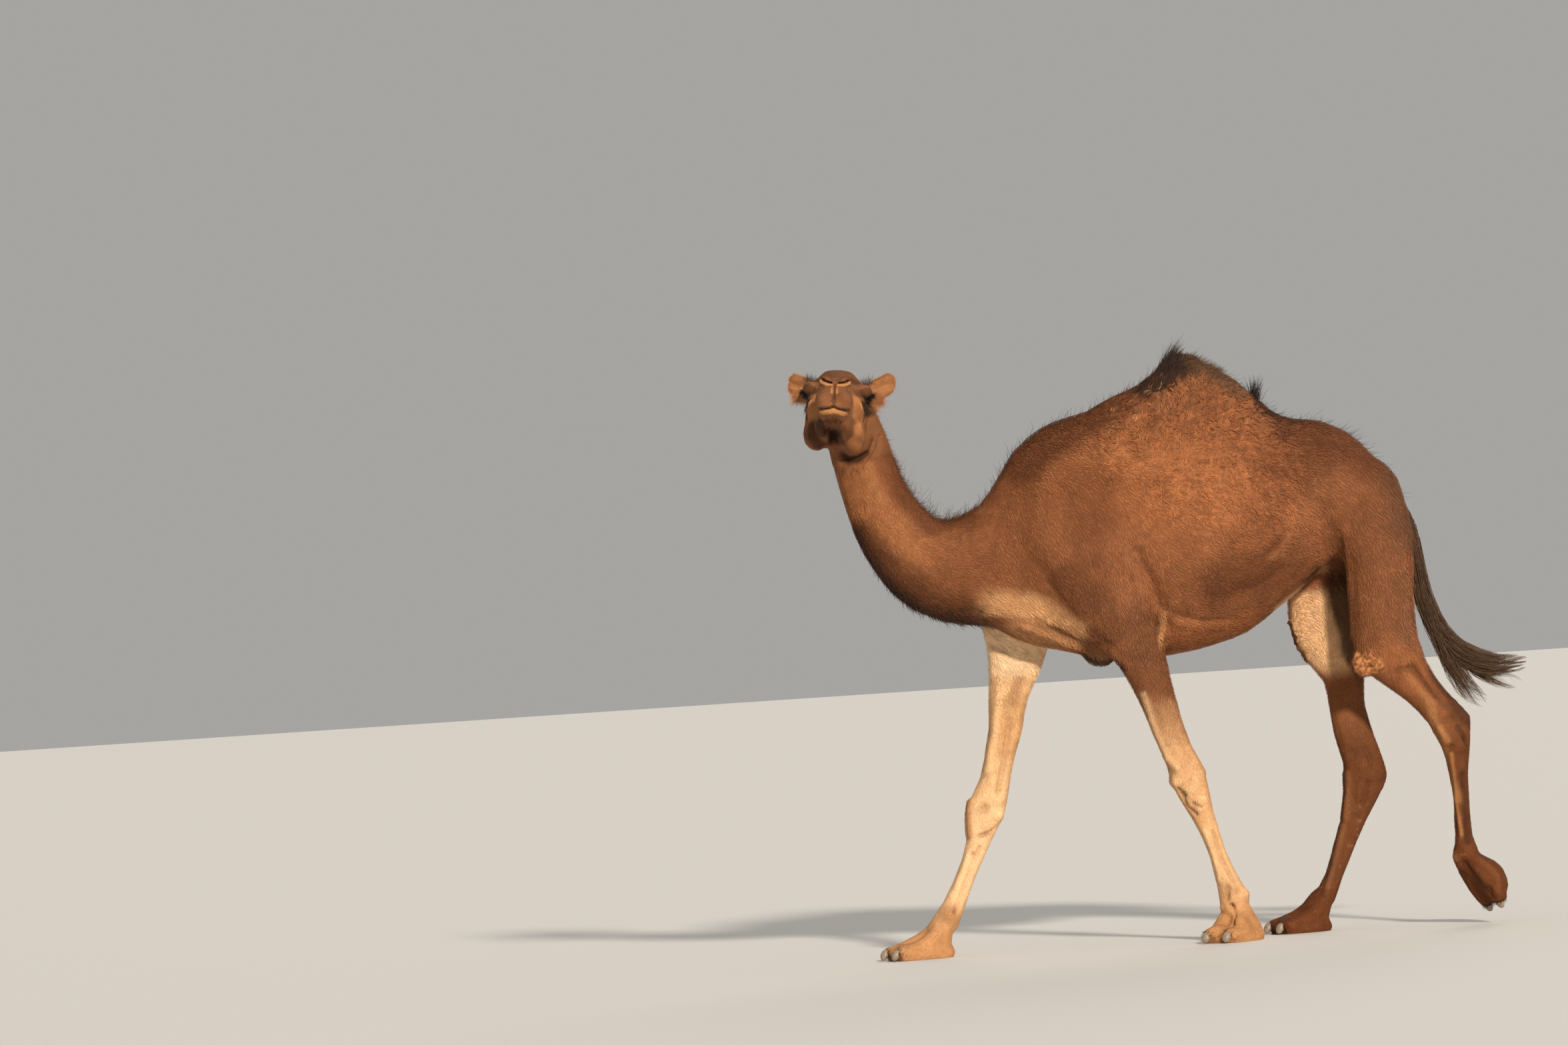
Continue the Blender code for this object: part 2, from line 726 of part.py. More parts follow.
def fold_share(co):
    """How far the joins of shoulder, hip, neck and hump are melted into the trunk."""
    share = ramp(co[:, 2], 0.98, 1.22) * (1 - 0.75 * ramp(co[:, 2], 1.96, 2.05))
    return share * (0.35 + 0.65 * ramp(co[:, 0], -0.86, -0.66))


relaxed(body, 46, fold_share, (0.5,))
relaxed(body, 10, lambda co: np.full(len(co), 0.6))
thinned(body, BODY_TRIANGLES)

head = joined(head_pieces() + [tube(NECK[-5:], 3, 2.1, 28)], "head")
remeshed(head, HEAD_VOXEL)
relaxed(head, 9, lambda co: np.ones(len(co)), (0.5,))
thinned(head, HEAD_TRIANGLES)

neck_point = np.array([-1.012, -0.076, NECK_CUT])
neck_normal = unit((-0.26, -0.24, 1.0))
lower, spare = halves(body, neck_point, neck_normal, "body", "spare")
bpy.data.objects.remove(spare)
spare, head = halves(head, neck_point, neck_normal, "spare", "head")
bpy.data.objects.remove(spare)
body, neck = halves(lower, (-0.600, 0.0, 1.400), (-0.93, 0.0, 0.36), "body", "neck")

spare, body = halves(body, (0, 0, 0.0 - GAP / 2), (0, 0, 1), "spare", "body")
bpy.data.objects.remove(spare)
legs, trunk_body = halves(body, (0.0, 0.0, 0.985), (0, 0, 1), "legs", "trunk")
named = {}
for piece in islands(legs):
    centre = points_of(piece.data).mean(0)
    which = ("fore" if centre[0] < 0.3 else "hind") + ("_left" if centre[1] < 0 else "_right")
    piece.name = "leg_" + which
    named[which] = piece

TONE = {}
KNEE = {"fore_left": 0.470, "fore_right": 0.455, "hind_left": 0.640, "hind_right": 0.465}
ANKLE = {"fore_left": 0.150, "fore_right": 0.150, "hind_right": 0.150}
for which, piece in named.items():
    cannon, upper = halves(piece, (0, 0, KNEE[which]), (0, 0, 1), "cannon_" + which, "upper_" + which)
    if which == "hind_left":
        foot, cannon = halves(
            cannon, raised_point(0.012, 0, 0), -RAISED_DOWN, "foot_" + which, "cannon_" + which
        )
    else:
        foot, cannon = halves(cannon, (0, 0, ANKLE[which]), (0, 0, 1), "foot_" + which, "cannon_" + which)
    TONE[upper.name] = PALE if "fore" in which else COAT
    TONE[cannon.name] = PALE if "fore" in which else COAT
    TONE[foot.name] = COAT
    cutter = swollen(foot, GAP * 1.3)
    for k, side in (("left", 1), ("right", -1)):
        if which == "hind_left":
            at = raised_point(0.212, -side * 0.043, -0.012)
            shape = nail(at, RAISED_DOWN, ACROSS, -RAISED_SOLE)
        else:
            middle, forward, left, half = foot_frame(which)
            at = middle + forward * (half + 0.000) + left * side * TOE_APART
            at[2] = 0.026
            down = np.array([0, 0, -1.0])
            slope = unit(forward * 0.42 + down * 0.90)
            shape = nail(at, slope, left, unit(forward * 0.90 - down * 0.42))
        claw = joined([shape], "nail_" + which + "_" + k)
        claw = less(claw, cutter, forward if which != "hind_left" else RAISED_DOWN)
        TONE[claw.name] = HORN

hump_cut = 1.790
trunk_body, hump = halves(trunk_body, (0, 0, hump_cut), (0, 0, 1), "trunk", "hump")
tail = joined([tube(TAIL, 2, 2.0, 14), tube(WISP, 2, 2.0, 12)], "tail")
remeshed(tail, BODY_VOXEL * 0.7)
relaxed(tail, 4, lambda co: np.full(len(co), 0.6))
thinned(tail, 400)
tail = less(tail, swollen(trunk_body, GAP * 1.3), np.array([1.0, 0, -1.0]))
tuft_at = np.array([1.010, -0.010, 1.130])
tuft, tail = halves(tail, tuft_at, (-0.34, 0, 0.94), "tail_brush", "tail")

eyes = []
for side, label in ((1, "left"), (-1, "right")):
    at = of_head(EYE_FORWARD, side * EYE_SIDE, EYE_UP)
    eye = joined([ball(at, (EYE_RADIUS,) * 3, AXES, 14)], "eye_" + label)
    bigger = helper(joined([ball(at, (EYE_RADIUS + GAP * 1.5,) * 3, AXES, 14)], "socket_" + label))
    head = less(head, bigger)
    TONE[eye.name] = WET
head_cutter = swollen(head, GAP * 1.3)
for side, label in ((1, "left"), (-1, "right")):
    flap = joined([ear(side)], "ear_" + label)
    flap = less(flap, head_cutter, AXES[1] * side)
    TONE[flap.name] = COAT

# ---------------------------------------------------------------- finish
solids = [o for o in bpy.data.objects if o.type == "MESH" and not o.hide_render]
low = np.min([points_of(o.data).min(0) for o in solids], axis=0)
high = np.max([points_of(o.data).max(0) for o in solids], axis=0)
shift = np.array([(low[0] + high[0]) / 2, (low[1] + high[1]) / 2, low[2]])
TONE["tail_brush"] = DARK
for obj in solids:
    put_points(obj.data, points_of(obj.data) - shift)
    material = bpy.data.materials.new(obj.name)
    material.use_nodes = True
    shader = material.node_tree.nodes["Principled BSDF"]
    tone = TONE.get(obj.name, COAT)
    shader.inputs["Base Color"].default_value = tone
    shader.inputs["Roughness"].default_value = 0.15 if tone is WET else 0.9
    shader.inputs["Metallic"].default_value = 0.0
    obj.data.materials.clear()
    obj.data.materials.append(material)
for obj in [o for o in bpy.data.objects if o.hide_render]:
    bpy.data.objects.remove(obj)
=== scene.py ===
"""The looks of a still, life-size dromedary: one skin over the solids, its coat, long hair, eyes and nails."""
import math

import bmesh
import bpy
import numpy as np
from mathutils import Matrix, Vector
from mathutils.bvhtree import BVHTree


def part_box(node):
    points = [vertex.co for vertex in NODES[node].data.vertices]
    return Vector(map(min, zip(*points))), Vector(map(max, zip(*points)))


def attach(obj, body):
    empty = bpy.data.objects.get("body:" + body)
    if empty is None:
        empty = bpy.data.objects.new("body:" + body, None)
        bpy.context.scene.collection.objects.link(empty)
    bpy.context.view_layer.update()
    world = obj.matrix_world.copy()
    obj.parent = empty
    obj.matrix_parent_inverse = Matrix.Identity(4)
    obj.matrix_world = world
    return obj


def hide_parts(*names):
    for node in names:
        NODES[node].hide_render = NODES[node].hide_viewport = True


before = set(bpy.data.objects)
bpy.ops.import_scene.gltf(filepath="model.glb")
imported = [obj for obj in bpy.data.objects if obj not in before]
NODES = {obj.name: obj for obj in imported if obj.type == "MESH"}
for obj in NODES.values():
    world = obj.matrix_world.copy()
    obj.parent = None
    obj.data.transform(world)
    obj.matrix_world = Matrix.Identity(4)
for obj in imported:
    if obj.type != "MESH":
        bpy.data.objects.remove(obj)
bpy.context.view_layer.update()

# ---------------------------------------------------------------- camera, light, floor
CAMERA_AT = (-4.39626, -27.53392, 1.4)
YAW, PITCH, ROLL = (math.radians(a) for a in (6.361829, 0.382574, 3.7))
forward = Vector((math.sin(YAW) * math.cos(PITCH), math.cos(YAW) * math.cos(PITCH), math.sin(PITCH)))
right = Vector((math.cos(YAW), -math.sin(YAW), 0))
up = right.cross(forward)
side = right * math.cos(ROLL) - up * math.sin(ROLL)
up = up * math.cos(ROLL) + right * math.sin(ROLL)
camera = bpy.data.objects.new("camera", bpy.data.cameras.new("camera"))
camera.data.lens, camera.data.sensor_width, camera.data.clip_end = 180, 36, 200
camera.matrix_world = Matrix((side, up, -forward)).transposed().to_4x4()
camera.location = CAMERA_AT
bpy.context.scene.collection.objects.link(camera)
bpy.context.scene.camera = camera
bpy.context.scene.view_settings.view_transform = "Standard"


def sun(name, direction, strength, soft, colour):
    """A broad soft light from far off, shining along this direction."""
    light = bpy.data.lights.new(name, "SUN")
    light.energy, light.angle, light.color = strength, math.radians(soft), colour
    obj = bpy.data.objects.new(name, light)
    obj.rotation_euler = Vector(direction).to_track_quat("-Z", "Y").to_euler()
    bpy.context.scene.collection.objects.link(obj)


sun("key", (-0.184, 0.979, -0.445), 3.5, 5, (1.0, 0.91, 0.79))
sun("rim", (-0.35, -0.85, -0.45), 0.6, 30, (1.0, 0.96, 0.90))
world = bpy.data.worlds.new("studio")
world.use_nodes = True
world.node_tree.nodes["Background"].inputs["Color"].default_value = (0.83, 0.81, 0.78, 1)
world.node_tree.nodes["Background"].inputs["Strength"].default_value = 0.46
bpy.context.scene.world = world

# ---------------------------------------------------------------- numbers and noise
MID = 0.12135  # y of the plane that halves the trunk
RNG = np.random.default_rng(7)


def ramp(value, low, high):
    t = np.clip((value - low) / (high - low), 0, 1)
    return t * t * (3 - 2 * t)


def unit(v):
    v = np.asarray(v, float)
    return v / np.maximum(np.linalg.norm(v, axis=-1, keepdims=True), 1e-9)


def lattice(i, seed):
    """A fixed number from -1 to 1 for each corner of a lattice: an integer hash of its place and the seed."""
    n = (i[:, 0] * 73856093) ^ (i[:, 1] * 19349663) ^ (i[:, 2] * 83492791) ^ (seed * 2654435)
    n = (n ^ (n >> 13)) * 1274126177
    n = (n ^ (n >> 16)) & 0xFFFFFF
    return n / float(0x7FFFFF) - 1.0


def noise(points, size, seed=0):
    """Smooth noise from -1 to 1 whose lumps are about this size."""
    q = points / size + 1000.0
    i = np.floor(q).astype(np.int64)
    f = q - i
    f = f * f * (3 - 2 * f)
    total = 0
    for corner in range(8):
        step = np.array([corner & 1, corner >> 1 & 1, corner >> 2])
        share = np.prod(np.where(step, f, 1 - f), axis=1)
        total = total + lattice(i + step, seed) * share
    return total


def reach(points, path):
    """Distance from each point to a path of straight runs."""
    best = np.full(len(points), 1e9)
    path = np.asarray(path, float)
    if len(path) == 1:
        return np.linalg.norm(points - path[0], axis=1)
    for a, b in zip(path[:-1], path[1:]):
        run = b - a
        t = np.clip((points - a) @ run / (run @ run), 0, 1)
        best = np.minimum(best, np.linalg.norm(points - a - t[:, None] * run, axis=1))
    return best


def close_to(points, path, near, far):
    """1 within the first distance of a path, 0 beyond the second."""
    return 1 - ramp(reach(points, path), near, far)


def tone(red, green, blue):
    """A colour given as it shows on a screen, in linear light."""
    c = np.array([red, green, blue]) / 255.0
    return np.where(c > 0.04045, ((c + 0.055) / 1.055) ** 2.4, c / 12.92)


def numbers(text, power="e-3"):
    """The numbers in a text: millimetres turned to metres, or as another power of ten says."""
    return [float(word + power) for word in text.split()]


LINES = {}  # the head's named lines, given with its forms


def line_of(text):
    """Points parted by commas; or the name of a line, and how far that is moved forward."""
    first, *rest = text.split()
    if first in LINES:
        return np.array(LINES[first]) + (numbers(rest[0])[0], 0, 0)
    return [tuple(numbers(point)) for point in text.split(",")]


def table(text):
    """Rows of cells parted by bars. What follows a # is a remark."""
    rows = (row.split("#")[0].strip() for row in text.splitlines())
    return [[cell.strip() for cell in row.split("|")] for row in rows if row]


def forms(text):
    """Rows of path | width height."""
    return [(line_of(path), *numbers(size)) for path, size in table(text)]


def patches_of(text):
    """Rows of colour | path | width | strength in hundredths, with "near" where the far side lacks it."""
    found = []
    for shade, path, width, more in table(text):
        strength, *near = more.split()
        shade, strength = tone(*numbers(shade, "e0")), numbers(strength, "e-2")[0]
        found.append((shade, line_of(path), numbers(width)[0], strength, bool(near)))
    return found


# ---------------------------------------------------------------- the head's frame
HEAD_YAW, HEAD_PITCH, HEAD_ROLL = (math.radians(a) for a in (7.0, 10.0, 7.1))


def head_axes():
    ahead = np.array([-math.sin(HEAD_YAW), -math.cos(HEAD_YAW), 0.0])
    left = np.array([math.cos(HEAD_YAW), -math.sin(HEAD_YAW), 0.0])
    top = np.array([0.0, 0.0, 1.0])
    tilted = ahead * math.cos(HEAD_PITCH) + top * math.sin(HEAD_PITCH)
    top = top * math.cos(HEAD_PITCH) - ahead * math.sin(HEAD_PITCH)
    rolled = left * math.cos(HEAD_ROLL) - top * math.sin(HEAD_ROLL)
    return np.array([tilted, rolled, top * math.cos(HEAD_ROLL) + left * math.sin(HEAD_ROLL)])


def centre_of(node):
    low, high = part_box(node)
    return np.array((low + high) / 2)


AXES = head_axes()
EYES = {"left": centre_of("eye_left"), "right": centre_of("eye_right")}
EYE = np.array([0.012, 0.101, 0.106])  # forward, side and up of an eye in the head's frame
EYE_RADIUS = 0.0215
HEAD_AT = (EYES["left"] + EYES["right"]) / 2 - np.array([EYE[0], 0, EYE[2]]) @ AXES


def to_head(points):
    """Points in the head's frame: forward, to its left, up."""
    return (points - HEAD_AT) @ AXES.T


def of_head(points):
    return HEAD_AT + np.asarray(points, float) @ AXES


def folded(local):
    """Points in the head's frame with the right side laid over the left."""
    return np.c_[local[:, 0], np.abs(local[:, 1]), local[:, 2]]


# ---------------------------------------------------------------- meshes
def mesh_object(name, points, faces, corners):
    """A mesh from flat arrays: faces holds vertex numbers, and every face has this many corners."""
    mesh = bpy.data.meshes.new(name)
    faces = np.asarray(faces, np.int32).reshape(-1)
    count = len(faces) // corners
    mesh.vertices.add(len(points))
    mesh.vertices.foreach_set("co", np.asarray(points, np.float32).reshape(-1))
    mesh.loops.add(len(faces))
    mesh.loops.foreach_set("vertex_index", faces)
    mesh.polygons.add(count)
    mesh.polygons.foreach_set("loop_start", np.arange(count, dtype=np.int32) * corners)
    mesh.polygons.foreach_set("loop_total", np.full(count, corners, np.int32))
    mesh.polygons.foreach_set("use_smooth", np.ones(count, bool))
    mesh.update(calc_edges=True)
    mesh.validate()
    obj = bpy.data.objects.new(name, mesh)
    bpy.context.scene.collection.objects.link(obj)
    return obj


def points_of(mesh):
    co = np.empty(len(mesh.vertices) * 3, np.float32)
    mesh.vertices.foreach_get("co", co)
    return co.reshape(-1, 3).astype(float)


def triangles_of(mesh):
    mesh.calc_loop_triangles()
    tri = np.empty(len(mesh.loop_triangles) * 3, np.int32)
    mesh.loop_triangles.foreach_get("vertices", tri)
    return tri.reshape(-1, 3)


def vertex_normals(points, tri):
    corner = points[tri]
    face = np.cross(corner[:, 1] - corner[:, 0], corner[:, 2] - corner[:, 0])
    out = np.zeros_like(points)
    for k in range(3):
        for axis in range(3):
            out[:, axis] += np.bincount(tri[:, k], face[:, axis], len(points))
    return unit(out)


def solid_of(node):
    """A CAD node's points and triangles with equal points made one."""
    mesh = NODES[node].data
    points, tri = points_of(mesh), triangles_of(mesh)
    _, first, index = np.unique(np.round(points, 5), axis=0, return_index=True, return_inverse=True)
    tri = index.reshape(-1)[tri]
    good = (tri[:, 0] != tri[:, 1]) & (tri[:, 1] != tri[:, 2]) & (tri[:, 0] != tri[:, 2])
    return points[first], tri[good]


class Surface:
    """Points and edges of a mesh, for smoothing."""

    def __init__(self, mesh):
        self.points = points_of(mesh)
        edges = np.empty(len(mesh.edges) * 2, np.int32)
        mesh.edges.foreach_get("vertices", edges)
        self.a, self.b = edges.reshape(-1, 2).T
        self.count = np.maximum(np.bincount(np.r_[self.a, self.b], minlength=len(self.points)), 1)
        self.tri = triangles_of(mesh)

    def mean(self, values):
        out = np.empty_like(values)
        for axis in range(values.shape[1]):
            column = values[:, axis]
            total = np.bincount(self.a, column[self.b], len(column))
            out[:, axis] = total + np.bincount(self.b, column[self.a], len(column))
        return out / self.count[:, None]

    def smooth(self, rounds, amount):
        """Each round shrinks a little and swells back a little more, so that the form keeps its volume."""
        for _ in range(rounds):
            for size in (0.5, -0.53):
                self.points += (self.mean(self.points) - self.points) * (size * amount)[:, None]

    def write(self, mesh):
        mesh.vertices.foreach_set("co", self.points.astype(np.float32).reshape(-1))

    def normals(self):
        return vertex_normals(self.points, self.tri)


# ---------------------------------------------------------------- the skin's mesh
SKIN_VOXEL = 0.0072
NOT_FLESH = ("eye_", "nail_", "tail_brush")
FLESH = [n for n in sorted(NODES) if not n.startswith(NOT_FLESH)]
SOFT = 0.05  # half the width of the blend from the head to the neck
SEAL = 0.0005  # each solid is swollen this much, to close the thin cuts


def joined_flesh():
    """All flesh and both eyes in one mesh."""
    points, faces, start = [], [], 0
    for node in FLESH + ["eye_left", "eye_right"]:
        co, tri = solid_of(node)
        points.append(co + vertex_normals(co, tri) * SEAL)
        faces.append(tri + start)
        start += len(co)
    return mesh_object("skin", np.concatenate(points), np.concatenate(faces), 3)


def applied(obj):
    """Turns the object's modifiers into mesh, shaded smooth."""
    graph = bpy.context.evaluated_depsgraph_get()
    mesh = bpy.data.meshes.new_from_object(obj.evaluated_get(graph))
    obj.modifiers.clear()
    obj.data = mesh
    mesh.polygons.foreach_set("use_smooth", np.ones(len(mesh.polygons), bool))


def refined(obj, chosen):
    """Splits each face whose points are all chosen into four."""
    bm = bmesh.new()
    bm.from_mesh(obj.data)
    bm.verts.ensure_lookup_table()
    edges = [e for e in bm.edges if chosen[e.verts[0].index] and chosen[e.verts[1].index]]
    bmesh.ops.subdivide_edges(bm, edges=edges, cuts=1, use_grid_fill=True)
    bm.to_mesh(obj.data)
    bm.free()


skin = joined_flesh()
remesh = skin.modifiers.new("remesh", "REMESH")
remesh.mode, remesh.voxel_size, remesh.adaptivity = "VOXEL", SKIN_VOXEL, 0
applied(skin)

RAISED_AT = np.array([1.034, -0.029, 0.262])  # the lifted fetlock
RAISED_DOWN = unit([0.46, 0, -0.89])  # and the way from there to its toes


def head_share(points):
    """1 on the head and ears, 0 on the neck."""
    local = to_head(points)
    above = local[:, 2] + 0.12 + 0.35 * np.clip(local[:, 0] + 0.02, -1, 1)
    return ramp(above, -SOFT, SOFT) * (points[:, 0] < -0.80)


def foot_share(points):
    """1 on the feet, 0 on the legs."""
    low_behind = (points[:, 0] > 0.95) * (points[:, 2] < 0.5)
    raised = ramp((points - RAISED_AT) @ RAISED_DOWN, -0.04, 0.0) * low_behind
    return np.maximum(1 - ramp(points[:, 2], 0.15, 0.20), raised)


def fine_of(points):
    """1 where the skin keeps its fine forms: on the head and the feet."""
    return np.clip(head_share(points) + foot_share(points), 0, 1)


STIFLE = (0.716, -0.075, 0.950)  # callus on the left knee fold; the right one is seen edge on
CRUST = ((0.501, 0.255, 1.106), (0.514, 0.258, 1.043), (0.547, 0.250, 0.979))
JOINTS = (
    (0.05, -0.03, 0.54), (-0.65, 0.266, 0.50), (1.02, -0.03, 0.70), (0.73, 0.266, 0.54), STIFLE, CRUST[1],
)
JOINT_REACH = 0.105  # the mesh is finer this near to a joint

surface = Surface(skin.data)
fine = fine_of(surface.points)
surface.smooth(16, 1 - 0.62 * fine)
surface.write(skin.data)
joints = np.min([np.linalg.norm(surface.points - at, axis=1) for at in JOINTS], 0) < JOINT_REACH
refined(skin, (fine > 0.5) | joints)
co = points_of(skin.data)
local = to_head(co)
near_eye = reach(folded(local), [EYE]) < 0.046
muzzle = (local[:, 0] > 0.275) & (co[:, 0] < -0.9)
surface = Surface(skin.data)
surface.smooth(5, 0.8 * (head_share(co) + foot_share(co)).clip(0, 1))
surface.write(skin.data)
refined(skin, near_eye | muzzle)
surface = Surface(skin.data)
surface.smooth(2, np.ones(len(surface.points)) * 0.8)

# Which solid each point of the skin came from.
cad_points, cad_tri, cad_node, start = [], [], [], 0
for number, node in enumerate(FLESH):
    p, t = solid_of(node)
    cad_points.append(p)
    cad_tri.append(t + start)
    cad_node += [number] * len(t)
    start += len(p)
cad_tree = BVHTree.FromPolygons(
    [Vector(p) for p in np.concatenate(cad_points)], np.concatenate(cad_tri).tolist(), all_triangles=True
)
cad_node = np.array(cad_node)


def node_numbers(points):
    """The number of the solid nearest to each point."""
    return cad_node[[cad_tree.find_nearest(Vector(p))[2] for p in points]]


part = node_numbers(surface.points)
PART = {node: number for number, node in enumerate(FLESH)}


def is_part(which, *starts):
    """Whether each of these node numbers belongs to a node whose name starts so."""
    return np.isin(which, [PART[n] for n in FLESH if n.startswith(starts)])


# ---------------------------------------------------------------- depth of the coat
def coat_depth(points, which):
    """How deep the coat lies over the skin, in metres."""
    depth = np.full(len(points), 0.0066)
    for start, value in (
        ("hump", 0.0100), ("neck", 0.0056), ("cannon_", 0.0023), ("foot_", 0.0020), ("head", 0.0020),
        ("ear", 0.0020), ("tail", 0.006),
    ):
        depth[is_part(which, start)] = value
    upper = is_part(which, "upper_")
    depth[upper] = 0.0026 + 0.0036 * ramp(points[upper, 2], 0.72, 0.99)
    return depth


def blurred(surface, values, rounds):
    """Values for the skin's points, evened out along its edges."""
    values = values[:, None].copy()
    for _ in range(rounds):
        values += (surface.mean(values) - values) * 0.5
    return values[:, 0]


GROUND = 0.0004  # the skin stays this far above the floor
depth = blurred(surface, coat_depth(surface.points, part), 40)
sole = (surface.points[:, 2] < 0.004) & (surface.normals()[:, 2] < -0.7)
surface.points -= surface.normals() * (depth * ~sole)[:, None]
surface.points[:, 2] = np.maximum(surface.points[:, 2], GROUND)

# ---------------------------------------------------------------- sculpting
def press(surface, path, width, height, where=None, way=None):
    """Raises the skin squarely, or a given way, along a path; sinks it where height is below nought."""
    near = reach(surface.points if where is None else where, path)
    share = np.exp(-((near / width) ** 2))
    hot = share > 0.01
    rise = surface.normals()[hot] if way is None else np.asarray(way, float)
    surface.points[hot] += rise * (share[hot] * height)[:, None]


# Forms of the head, in millimetres of its frame: path | width height.
NOSTRIL = line_of("354 13 87, 354 26 89.5, 347 39 94.5, 337 48 101")
NOSE_RIM = line_of("359 10 77.5, 357 26 77.5, 350 41 81.5, 340 51 89, 333 53 98")
MOUTH = line_of("368 0 -1, 366 13 -8, 360 34 -10.5, 345 50 -8, 320 56 -5, 260 58 0, 190 62 8")
LINES.update(NOSTRIL=NOSTRIL, NOSE_RIM=NOSE_RIM, MOUTH=MOUTH, LIPS=MOUTH[:5])
HEAD_FORMS = forms("""
    338 30 110, 330 44 110 | 14 6  # wings of the nose
    352 0 90, 330 0 116 | 5 -3.5  # crease between the nostrils
    NOSTRIL 0 | 4.2 -15
    NOSE_RIM 0 | 4.8 6.2
    350 40 66, 340 52 74 | 7 -3
    358 0 80, 366 0 56, 368 0 26 | 3.4 -6  # cleft of the upper lip
    362 12 70, 366 11 50 | 6 2.2
    360 30 52, 356 40 30 | 19 7.5  # the two halves of the lip
    366 10 6, 356 38 3, 338 54 3 | 8 3.6
    MOUTH 0 | 4.6 -10
    362 0 -18, 350 30 -22, 330 44 -21 | 10 5.5  # lower lip
    350 0 -40, 338 26 -42 | 8 -3
    317 58 -10, 256 46 -31, 186 26 -51, 111 17 -59 | 12 -9
    10 78 -60, 50 72 -36 | 34 11  # cheek muscle over the jaw
    180 58 -30, 110 66 -40 | 22 4
    41 105 28, 60 99 3, 40 102 -23, 44 95 -43 | 4.2 -8
    26 109 28, 44 105 3, 24 107 -23, 26 100 -46 | 6 4.5
    8 114 26, 16 112 0, 2 114 -30 | 4.5 -5
    125 78 82, 85 98 80, 50 112 76 | 8.5 3.2  # cheekbone
    85 94 62, 55 106 56 | 12 -6  # hollow under the eye
    120 86 66, 108 91 44, 70 103 32, 18 113 38 | 4.5 6.2
    62 74 128, 40 96 136, 5 110 140, -28 116 134 | 9 5  # brow
    100 78 98, 75 92 108 | 10 -4
    30 60 168, -20 85 170 | 20 -6  # temple
    240 48 105, 150 56 118 | 16 -6  # hollow beside the nose bone
    300 56 62, 230 66 52 | 16 -4.5
    318 60 30, 300 62 -2 | 4 -3.5  # creases behind the mouth
    -85 64 185, 0 62 178 | 22 -9  # the dome of the head narrows upward
    -75 0 205, -30 0 206 | 30 4
    296 63 30, 278 64 0 | 4 -3
""")
# Parts of the head that move one way: path | width distance | way. Left is above nought.
HEAD_SHIFTS = [(line_of(path), *numbers(size), numbers(way, "e0")) for path, size, way in table("""
    225 -4 -45, 160 -5 -51, 100 -4 -58, 45 0 -74 | 13.5 30 | -0.25 0 0.97
    40 2 -77, -10 10 -88, -40 24 -108 | 19 20 | -0.97 0 0.2
    190 24 -52, 120 24 -60, 50 34 -74 | 10 6 | 0.2 -0.5 -0.85
    190 -34 -52, 120 -36 -60, 50 -44 -70 | 12 4 | 0.2 0.4 -0.85
    -6 54 -82, -12 84 -79, -16 106 -62 | 16 9 | 0.45 0 -0.89
    50 50 -72, 20 80 -70, 5 100 -55 | 28 16 | 0.97 0 -0.2
    50 -50 -68, 20 -72 -60 | 26 10 | 0.97 0 -0.2
    -40 52 -106, -36 86 -100, -30 112 -80, -30 126 -45 | 13 19 | -0.98 0 0.2
    -6 -50 -78, -12 -70 -70 | 16 6 | 0.45 0 -0.89
""")]
BODY_FORMS = forms("""
    -100 -136 1400, -76 -134 1338, -46 -126 1268, -30 -106 1210 | 24 -15
    -150 -136 1400, -120 -134 1330, -82 -120 1250, -70 -104 1190 | 34 8
    -24 -94 1172, -26 -72 1092 | 15 11  # pale fold at the elbow
    -49 -100 1195, -53 -84 1100 | 10 -7
    0 -87 1165, 0 -52 1070 | 12 -10
    -455 -10 1182, -376 6 1130, -313 12 1103, -250 -41 1090 | 11 -8.5
    -512 22 1170, -412 29 1122, -336 40 1088, -250 60 1045 | 12 7
    -400 -50 1190, -330 -45 1150, -270 -55 1115 | 9 -4.5
    -445 -98 1365, -396 -95 1270, -324 -83 1178, -226 -76 1082 | 32 -9.5
    -390 -113 1420, -270 -131 1350, -205 -124 1269, -215 -105 1160 | 65 9
    0 -106 1190, 58 -91 1158, 122 -79 1141, 240 -65 1130 | 13 -6
    0 -98 1155, 58 -80 1125, 122 -66 1108, 240 -50 1100 | 20 5
    650 -87 1426, 660 -61 1356, 676 -51 1223, 680 -30 1060 | 18 7
    600 -115 1520, 612 -90 1430, 622 -50 1360 | 30 -16  # flank hollow
    471 -139 1423, 433 -138 1377, 389 -140 1345 | 12 6.5
    450 -139 1440, 410 -138 1394, 370 -140 1362 | 18 -4.5
    500 -130 1360, 440 -120 1300, 340 -115 1250, 200 -110 1220 | 28 -6
    800 -130 1450, 822 -125 1200, 838 -110 1030 | 26 -7
    610 -110 1720, 640 -110 1700 | 50 11  # point of the hip
    700 -120 1620, 760 -120 1560 | 60 -6
    868 20 1600 | 40 7
    -600 245 1106, -561 215 1084, -510 140 1110 | 14 -10
    -583 225 1107, -504 205 1044, -430 216 1039 | 10 -9
    -460 205 1075, -425 212 1045 | 11 -8
    -440 212 1085, -415 216 1050 | 14 6
    -360 -125 1780, -220 -135 1520 | 60 6  # spine of the shoulder blade
    -280 -130 1800, -130 -140 1600 | 45 -5
    -969 -38 1866, -977 -42 1835, -995 -46 1805, -1015 -44 1778, -1035 -40 1745 | 8 -8
    -340 95 1060, -270 90 1052, -200 75 1052 | 9 -7  # over the breast callus
    -340 10 1060, -250 -10 1054, -170 -45 1050 | 9 -7
    870 -78 930, 930 -66 830, 990 -60 760 | 14 -6  # before the hock tendon
""")
# Colours laid along the legs' forms. The darkest two, for creases and for folds, are painted shade in the
# grooves that the forms sink; HOLLOW, a mid brown, lies mostly in hollows as painted shade too.
TONES = {
    "CREASE": tone(104, 64, 38), "TENDON": tone(250, 208, 156), "HOLLOW": tone(156, 106, 68),
    "GOLD": tone(196, 136, 84), "SOOT": tone(62, 35, 20), "-": None,
}


